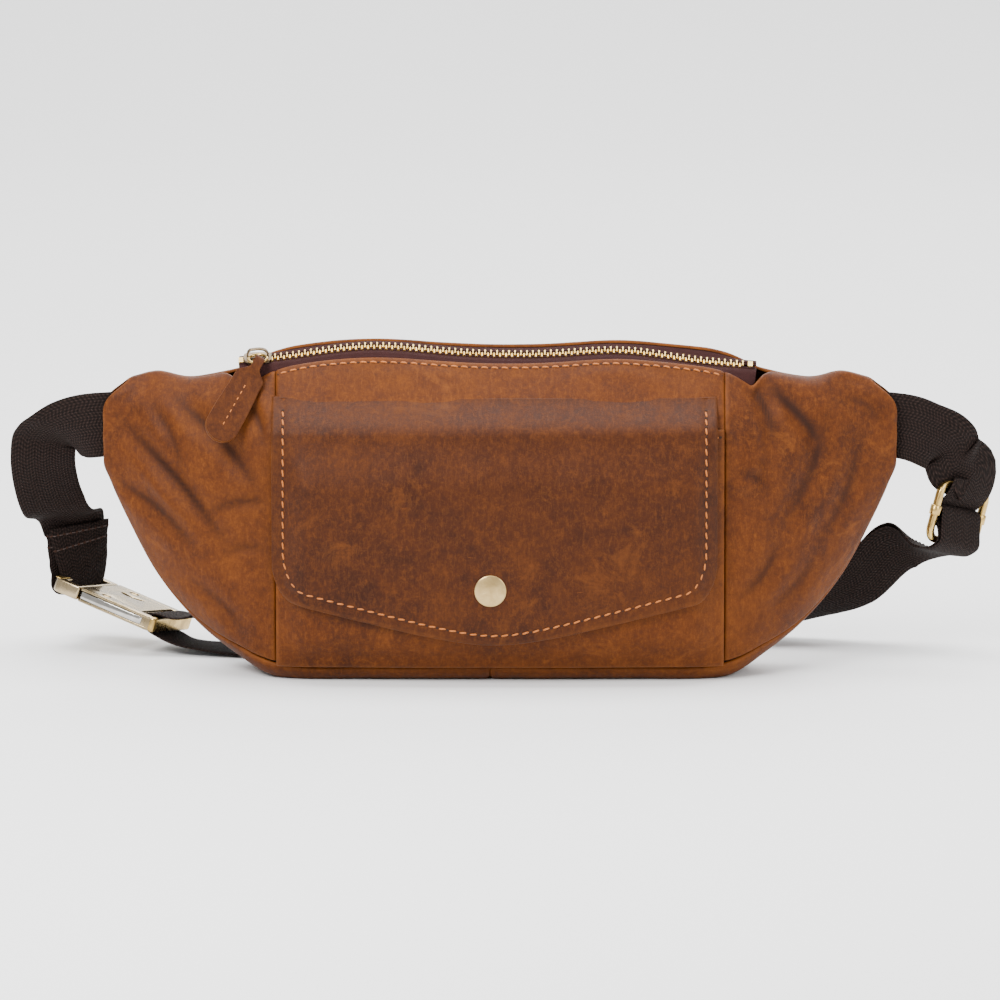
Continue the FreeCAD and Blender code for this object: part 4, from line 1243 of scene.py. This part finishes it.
def left_strap():
    """From the left wing back over a sharp bend, down and round the tongue's bar."""
    route = [
        ((-171, 12.6, 113.5), (0.0, 0, 1)),
        ((-181, 13.2, 113.0), (-0.10, 0.0, 1)),
        ((-190, 15.5, 111.8), (-0.45, 0.15, 0.85)),
        ((-200, 22, 109.0), (-0.82, 0.25, 0.48)),
        ((-208, 31, 105.3), (-0.98, 0.12, 0.12)),
        ((-210.6, 35.6, 101.5), (-1, 0.02, 0.04)),
        ((-211.5, 38.5, 94), (-1, -0.03, 0.04)),
        ((-210.8, 46, 82), (-0.98, -0.16, 0.08)),
        ((-207.0, 57, 67), (-0.95, -0.30, 0.10)),
    ]
    # place in the buckle's frame, and how far the width is turned from its bar, in degrees
    loop = [((-4.2, -7.0, 26), 35), ((-2.6, -4.5, 19), 29), ((-1.6, -2, 12), 21),
            ((-1.3, 0, 4), 12), ((-0.9, 0, -2.2), 6), ((0.3, 0, -4.2), 3), ((2.2, 0, -4.8), 2),
            ((4.1, 0, -4.2), 3), ((5.6, 0, -2.2), 6), ((5.4, 0, 4), 12), ((3.6, -2, 11), 21),
            ((1.0, -4.5, 18), 29), ((-1.0, -6.2, 23.5), 34), ((-2.0, -7.8, 28), 36)]
    for place, turn in loop:
        a = math.radians(turn)
        wide = BUCKLE.to_3x3() @ V((-math.sin(a), -math.cos(a), 0))
        route.append((tuple(BUCKLE @ V(place)), tuple(wide)))
    strap, sections = webbing("left_webbing", route, None)
    # stitch rows through both layers, seen on the outer one
    goal = [BUCKLE @ V((0.2, -5, 19.0)), BUCKLE @ V((-1.4, -6.5, 25.0))]
    for number, target in enumerate(goal):
        centres = [sum(section, V()) / len(section) for section in sections]
        for layer, part in (("over", range(len(centres) * 2 // 3, len(centres))),
                            ("under", range(len(centres) * 2 // 3))):
            near = min(part, key=lambda k: (centres[k] - target).length)
            for out in (1, -1):
                strap_row(f"left_strap_sewing_{layer}_{number}_{out + 1}", sections, near, out,
                          "tongue_body")
    tuple(V((-208, 31, 105)) * MM)
    tuple(V((-203, 62, 60)) * MM)
    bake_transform(strap)
    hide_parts("left_strap", "left_strap_loop")


def long_strap():
    """From the right wing through the adjuster, round the buckle's bar and back."""
    drop = [
        ((171, 12.6, 113.5), (0, 0, 1)),
        ((181, 13.2, 112.8), (-0.05, 0, 1)),
        ((190, 14.5, 110.8), (0.30, 0.20, 0.90)),
        ((199, 18.5, 106.5), (0.68, 0.45, 0.52)),
        ((205.5, 24, 102.6), (0.86, 0.48, 0.14)),
        ((208.0, 27.5, 99), (0.90, 0.44, 0.02)),
        ((209.8, 29.5, 93), (0.88, 0.48, -0.04)),
    ]
    weave = from_local(ADJUSTER, (-19, 0, 4.4), (-13.3, 0, 4.0), (-7.5, 0, 1.6), (-3.6, 0, -1.8),
                       (0, 0, -3.9), (4.2, 0, -2.2), (8.2, 0, 2.2), (13.3, 0, 3.6), (17.0, 0, 0.4),
                       (19.4, 0, -8.5))
    bar = BUCKLE @ Matrix.Translation(V((BUCKLE_SIZE - 1.7, 0, 0)))
    around = from_local(bar, (6, 0, -5.2), (1.5, 0, -4.7), (-2.2, 0, -4.2), (-4.6, 0, -2.2),
                        (-5.1, 0, 0), (-4.6, 0, 2.4), (-2.0, 0, 4.5), (1.5, 0, 5.1), (6, 0, 5.6))
    high = []
    for (x, y, z), width in RUN[:-1]:
        lift = V((1.3, 1.2, 1.9)) if x > 100 else V((0, 0, 2.4))
        high.append(((x + lift.x, y + lift.y, z + lift.z), width))
    high.append(((-105, 46, 14), (-0.05, 1, 0)))
    high.append(((-128, 51, 20), (0.25, 1, -0.03)))
    sewn = from_local(ADJUSTER, (18.6, 0, -9.0), (17.4, 0, 1.4), (13.3, 0, 5.4), (7.0, 0, 4.2),
                      (2.4, 0, 3.0), (-0.8, 0, 2.3), (-2.7, 0, 0.0), (-0.6, 0, -2.1),
                      (2.6, 0, -1.5), (6.6, 0, 2.0))
    route = drop + weave + RUN + [((-128, 47, 1.6), (0.25, 1, -0.03))] + around
    back = list(reversed(high)) + sewn
    target = ADJUSTER @ V((19.8, 0, -15))
    strap, sections = webbing("long_webbing", route + back)
    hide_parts("long_strap")
    centres = [sum(section, V()) / len(section) for section in sections]
    tail = range(len(centres) * 3 // 4, len(centres) - 2)
    near = min(tail, key=lambda k: (centres[k] - target).length)
    for out in (1, -1):
        strap_row(f"long_strap_sewing_{out + 1}", sections, near, out, ROOT)


# ------------------------------------------------------------ buckle
TONGUE_LONG, WALL = 14.4, 1.3
BUCKLE_HALF, BUCKLE_TOP = 20.0, 3.3
SLOT_HALF = 15.7
PIVOT_X, RIVET_Y = 26.0, 14.276


def strap_slot(x0, x1):
    """The outline of a slot that a strap goes through."""
    return rounded(x0, -SLOT_HALF, x1, SLOT_HALF, 1.6)


def tongue():
    """The half of the buckle on the left strap: its frame, a gold band and a hooked blade."""
    half, top = BUCKLE_HALF, BUCKLE_TOP
    outside = rounded(0, -half, TONGUE_LONG, half, (4.5, 1.2, 1.2, 4.5))
    bow = plate("tongue_frame", [outside, strap_slot(4.4, 12.2)], -top, top, 0.9, BUCKLE,
                BUCKLE_BRASS, "tongue_body")
    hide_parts("buckle_tongue")
    band = plate("tongue_band", [rounded(0.2, -half + 0.4, 3.6, half - 0.4, 1.6)],
                 top - 0.3, top + 0.25, 0.2, BUCKLE, BRASS, "tongue_body")
    edge = [(14.0, -12), (16.2, -12), (16.2, -10.2), (21.6, -10.2), (21.6, -12), (31, -11), (34, -8)]
    outline = edge + mirrored(reversed(edge), -1)
    blade = plate("tongue_blade", [outline], -1.1, 1.1, 0.2, BUCKLE, STEEL, "tongue_body")


def housing():
    """The half on the long strap: bent plates with a window, an end band and two rivets."""
    half, top, long = BUCKLE_HALF, BUCKLE_TOP, BUCKLE_SIZE
    body = rounded(TONGUE_LONG + 0.5, -half, long, half, (1.2, 5.0, 5.0, 1.2))
    slot = strap_slot(long - 10.4, long - 3.4)
    bent = [(23.0, 6.2), (24.2, 4.6), (27.5, 3.4), (31.0, 3.6), (34.2, 5.4), (35.4, 7.4),
            (34.3, 8.3), (32.6, 7.5), (30.4, 6.4), (27.6, 6.2), (25.4, 7.2), (23.9, 7.7)]
    bent = [V((x, y, 0)) for x, y in bent + bent[:1]]
    window = [tuple(p)[:2] for _, p in curve_through(bent, 0.5)][:-1]
    dents = [circle(PIVOT_X, side * RIVET_Y, 2.3) for side in (-1, 1)]
    lid = plate("housing_lid", [body, slot, window] + dents, top - WALL, top, 0.3, BUCKLE,
                BUCKLE_BRASS)
    floor = plate("housing_floor", [body, slot], -top, -top + WALL, 0.3, BUCKLE, BUCKLE_BRASS)
    end = plate("housing_end", [rounded(long - 3.6, -half + 0.3, long + 0.1, half - 0.3, 1.7)],
                -top - 0.15, top + 0.15, 1.1, BUCKLE, BRASS)
    core = plate("housing_core", [rounded(38, -17.4, long - 10.6, 17.4, 1.0)], -top + 0.8,
                 top - 0.8, 0.2, BUCKLE, DARK_BRASS)
    for side in (-1, 1):
        y0, y1 = sorted((side * 15.9, side * (half - 0.4)))
        wall = rounded(long - 10.6, y0, long - 1, y1, 1.0)
        plate(f"housing_side_{side + 1}", [wall], -top + 0.1, top - 0.1, 0.3, BUCKLE,
                           BUCKLE_BRASS)
        rivet_place = BUCKLE @ Matrix.Translation(V((PIVOT_X, side * RIVET_Y, 0)))
        head = [(0.01, -top - 0.1), (1.5, -top - 0.1), (1.8, -top + 0.15), (1.8, top - 0.55),
                (1.45, top - 0.28), (0.8, top - 0.16), (0.01, top - 0.14)]
        turned(f"housing_rivet_{side + 1}", head, rivet_place, BRASS, steps=40)
    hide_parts("buckle_housing")
    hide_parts("buckle_pins")


def levers():
    """The two squeeze levers, each with the arm that holds the tongue's hook."""
    room = BUCKLE_TOP - WALL - 0.25
    for name, side in (("front", -1), ("rear", 1)):
        outline = [(15.6, 17.4), (18.6, 17.2), (19.4, 18.4), (24.0, 18.6), (26.0, 17.8),
                   (28.4, 18.6), (48.6, 18.9), (49.2, 19.8), (48.2, 20.5), (27.0, 20.5),
                   (22.0, 20.3), (16.2, 19.9)]
        lever = plate(f"lever_{name}", [mirrored(outline, side)], -room, room, 0.3, BUCKLE,
                      STEEL, f"{name}_lever_body")
        arm_line = [(17.0, 12.4), (19.4, 12.4), (19.6, 15.3), (26.0, 15.4), (28.6, 16.0),
                    (28.6, 18.4), (24.0, 19.0), (17.0, 17.2)]
        arm = plate(f"lever_arm_{name}", [mirrored(arm_line, side)], -room + 0.1, room - 0.1, 0.2,
                    BUCKLE, DARK_BRASS, f"{name}_lever_body")
        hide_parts(f"release_lever_{name}")


# ------------------------------------------------------------ adjuster
ADJUSTER_WIDE, ADJUSTER_LONG, ROD = 38.0, 30.0, 3.4
RAIL_X, RAIL_Y = (ADJUSTER_LONG - ROD) / 2, (ADJUSTER_WIDE - ROD) / 2


def adjuster_frame():
    """A rounded rectangle of squared rod, which slides along the strap."""
    x, y = RAIL_X, RAIL_Y
    middle = rounded(-x, -y, x, y, 5.2, 10)
    count = len(middle)
    sections = []
    for k, (px, py) in enumerate(middle):
        a, b = middle[k - 1], middle[(k + 1) % count]
        way = V((b[0] - a[0], b[1] - a[1], 0)).normalized()
        side = way.cross(V((0, 0, 1)))
        sections.append([ADJUSTER @ (V((px, py, 0)) + (side * c + V((0, 0, 1)) * s) * (ROD / 2))
                         for c, s in squared(20, 3.2)])
    # more sections along the straight stretches, at most 4 mm apart
    filled = []
    for k in range(count):
        filled.append(sections[k])
        nxt = sections[(k + 1) % count]
        parts = int((nxt[0] - sections[k][0]).length / 4) + 1
        for j in range(1, parts):
            filled.append([a.lerp(b, j / parts) for a, b in zip(sections[k], nxt)])
    points, faces = tube(filled, closed=True)
    ring = add("adjuster_ring", points, faces, BRASS, "adjuster_body")
    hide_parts("adjuster_frame")


def adjuster_bar():
    """The flat centre bar, its ends wrapped round the frame's rails."""
    y = RAIL_Y
    bar = plate("adjuster_centre", [rounded(-1.7, -y + 1.6, 1.7, y - 1.6, 0.8)], -1.1, 1.1, 0.5,
                ADJUSTER, BRASS)
    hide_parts("adjuster_bar")
    for side in (-1, 1):
        # each wrapped end is a short sleeve: its outside, then its bore
        rings = []
        for h, r in ((-2.3, 2.38), (-2.05, 2.62), (2.05, 2.62), (2.3, 2.38), (2.3, 1.98),
                     (-2.3, 1.98)):
            rings.append([ADJUSTER @ V((h, a, b)) for a, b in circle(side * y, 0, r)])
        points, faces = tube(rings, closed=True)
        wrap = add(f"adjuster_wrap_{side + 1}", points, faces, BRASS)
        soft_shade(wrap.data, 50)


# ------------------------------------------------------------ CAD nodes kept as they are
def finish_nodes():
    """Materials for the small CAD solids whose shape is right."""
    looks = {
        "snap_socket": BRASS, "snap_stud": BRASS, "snap_stud_washer": BRASS,
        "zip_end_stops": TOOTH_BRASS, "pull_ring": BRASS,
        "lever_spring_front": STEEL, "lever_spring_rear": STEEL,
    }
    for node, material in looks.items():
        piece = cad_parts[node]
        for slot in piece.material_slots:
            slot.material = material
        if node != "pull_ring":
            edge = piece.modifiers.new("edges", "BEVEL")
            edge.width = 0.15 * MM
            edge.segments = 2
            edge.limit_method = "ANGLE"


# ------------------------------------------------------------ stage
def stage():
    """A pale floor that curves up behind, four soft boxes and an even white sky."""
    profile = [(-3.0, 0.0), (1.6, 0.0)]
    profile += [(1.6 + math.sin(a), 1.0 - math.cos(a)) for a in spread(0, math.pi / 2, 24)[1:]]
    profile += [(2.6, 3.5)]
    points = [V((x, y, z)) / MM for x in (-4.0, 4.0) for y, z in profile]
    n = len(profile)
    faces = [(k, k + 1, n + k + 1, n + k) for k in range(n - 1)]
    paper = Shader("studio_paper", Roughness=0.75, Specular_IOR_Level=0.1)
    paper.bsdf.inputs["Base Color"].default_value = (0.86, 0.86, 0.86, 1)
    floor = add("studio_floor", points, faces, paper.material, body=None)

    def lamp(name, place, size, power, aim=(0, 0, 0.07)):
        light = bpy.data.lights.new(name, "AREA")
        light.shape = "RECTANGLE"
        light.size, light.size_y = size
        light.energy = power
        holder = link(bpy.data.objects.new(name, light))
        holder.location = place
        holder.rotation_euler = (V(aim) - V(place)).to_track_quat("-Z", "Y").to_euler()

    lamp("key_box", (-0.75, -1.1, 1.15), (0.8, 0.8), 40)
    lamp("fill_box", (1.2, -0.9, 0.75), (0.9, 0.9), 14)
    lamp("top_box", (0.0, 0.1, 1.5), (1.6, 1.0), 42)
    lamp("back_box", (0.2, 1.6, 1.2), (1.8, 1.2), 34, aim=(0, 0.2, 0.1))
    world = bpy.data.worlds.new("studio")
    world.use_nodes = True
    sky = world.node_tree.nodes["Background"]
    sky.inputs["Color"].default_value = (1, 1, 1, 1)
    sky.inputs["Strength"].default_value = 0.85
    bpy.context.scene.world = world


def camera():
    """The front view from ten degrees up, through a long lens."""
    elevation, distance, across = math.radians(10), 6.0, 0.460
    target = V((0, 0, 0.0799))
    away = V((0, -math.cos(elevation), math.sin(elevation)))
    lens = bpy.data.cameras.new("camera")
    lens.sensor_width = 36
    lens.lens = 36 * distance / across
    lens.clip_end = 20
    holder = link(bpy.data.objects.new("camera", lens))
    holder.location = target + away * distance
    holder.rotation_euler = (-away).to_track_quat("-Z", "Y").to_euler()
    bpy.context.scene.camera = holder


camera()
stage()
pouch()
lining()
pocket()
flap()
flap_backing()
sew()
snap()
teeth()
tapes()
tape_cords()
slider()
crown()
pull()
left_strap()
long_strap()
tongue()
housing()
levers()
adjuster_frame()
adjuster_bar()
finish_nodes()
bpy.context.view_layer.update()
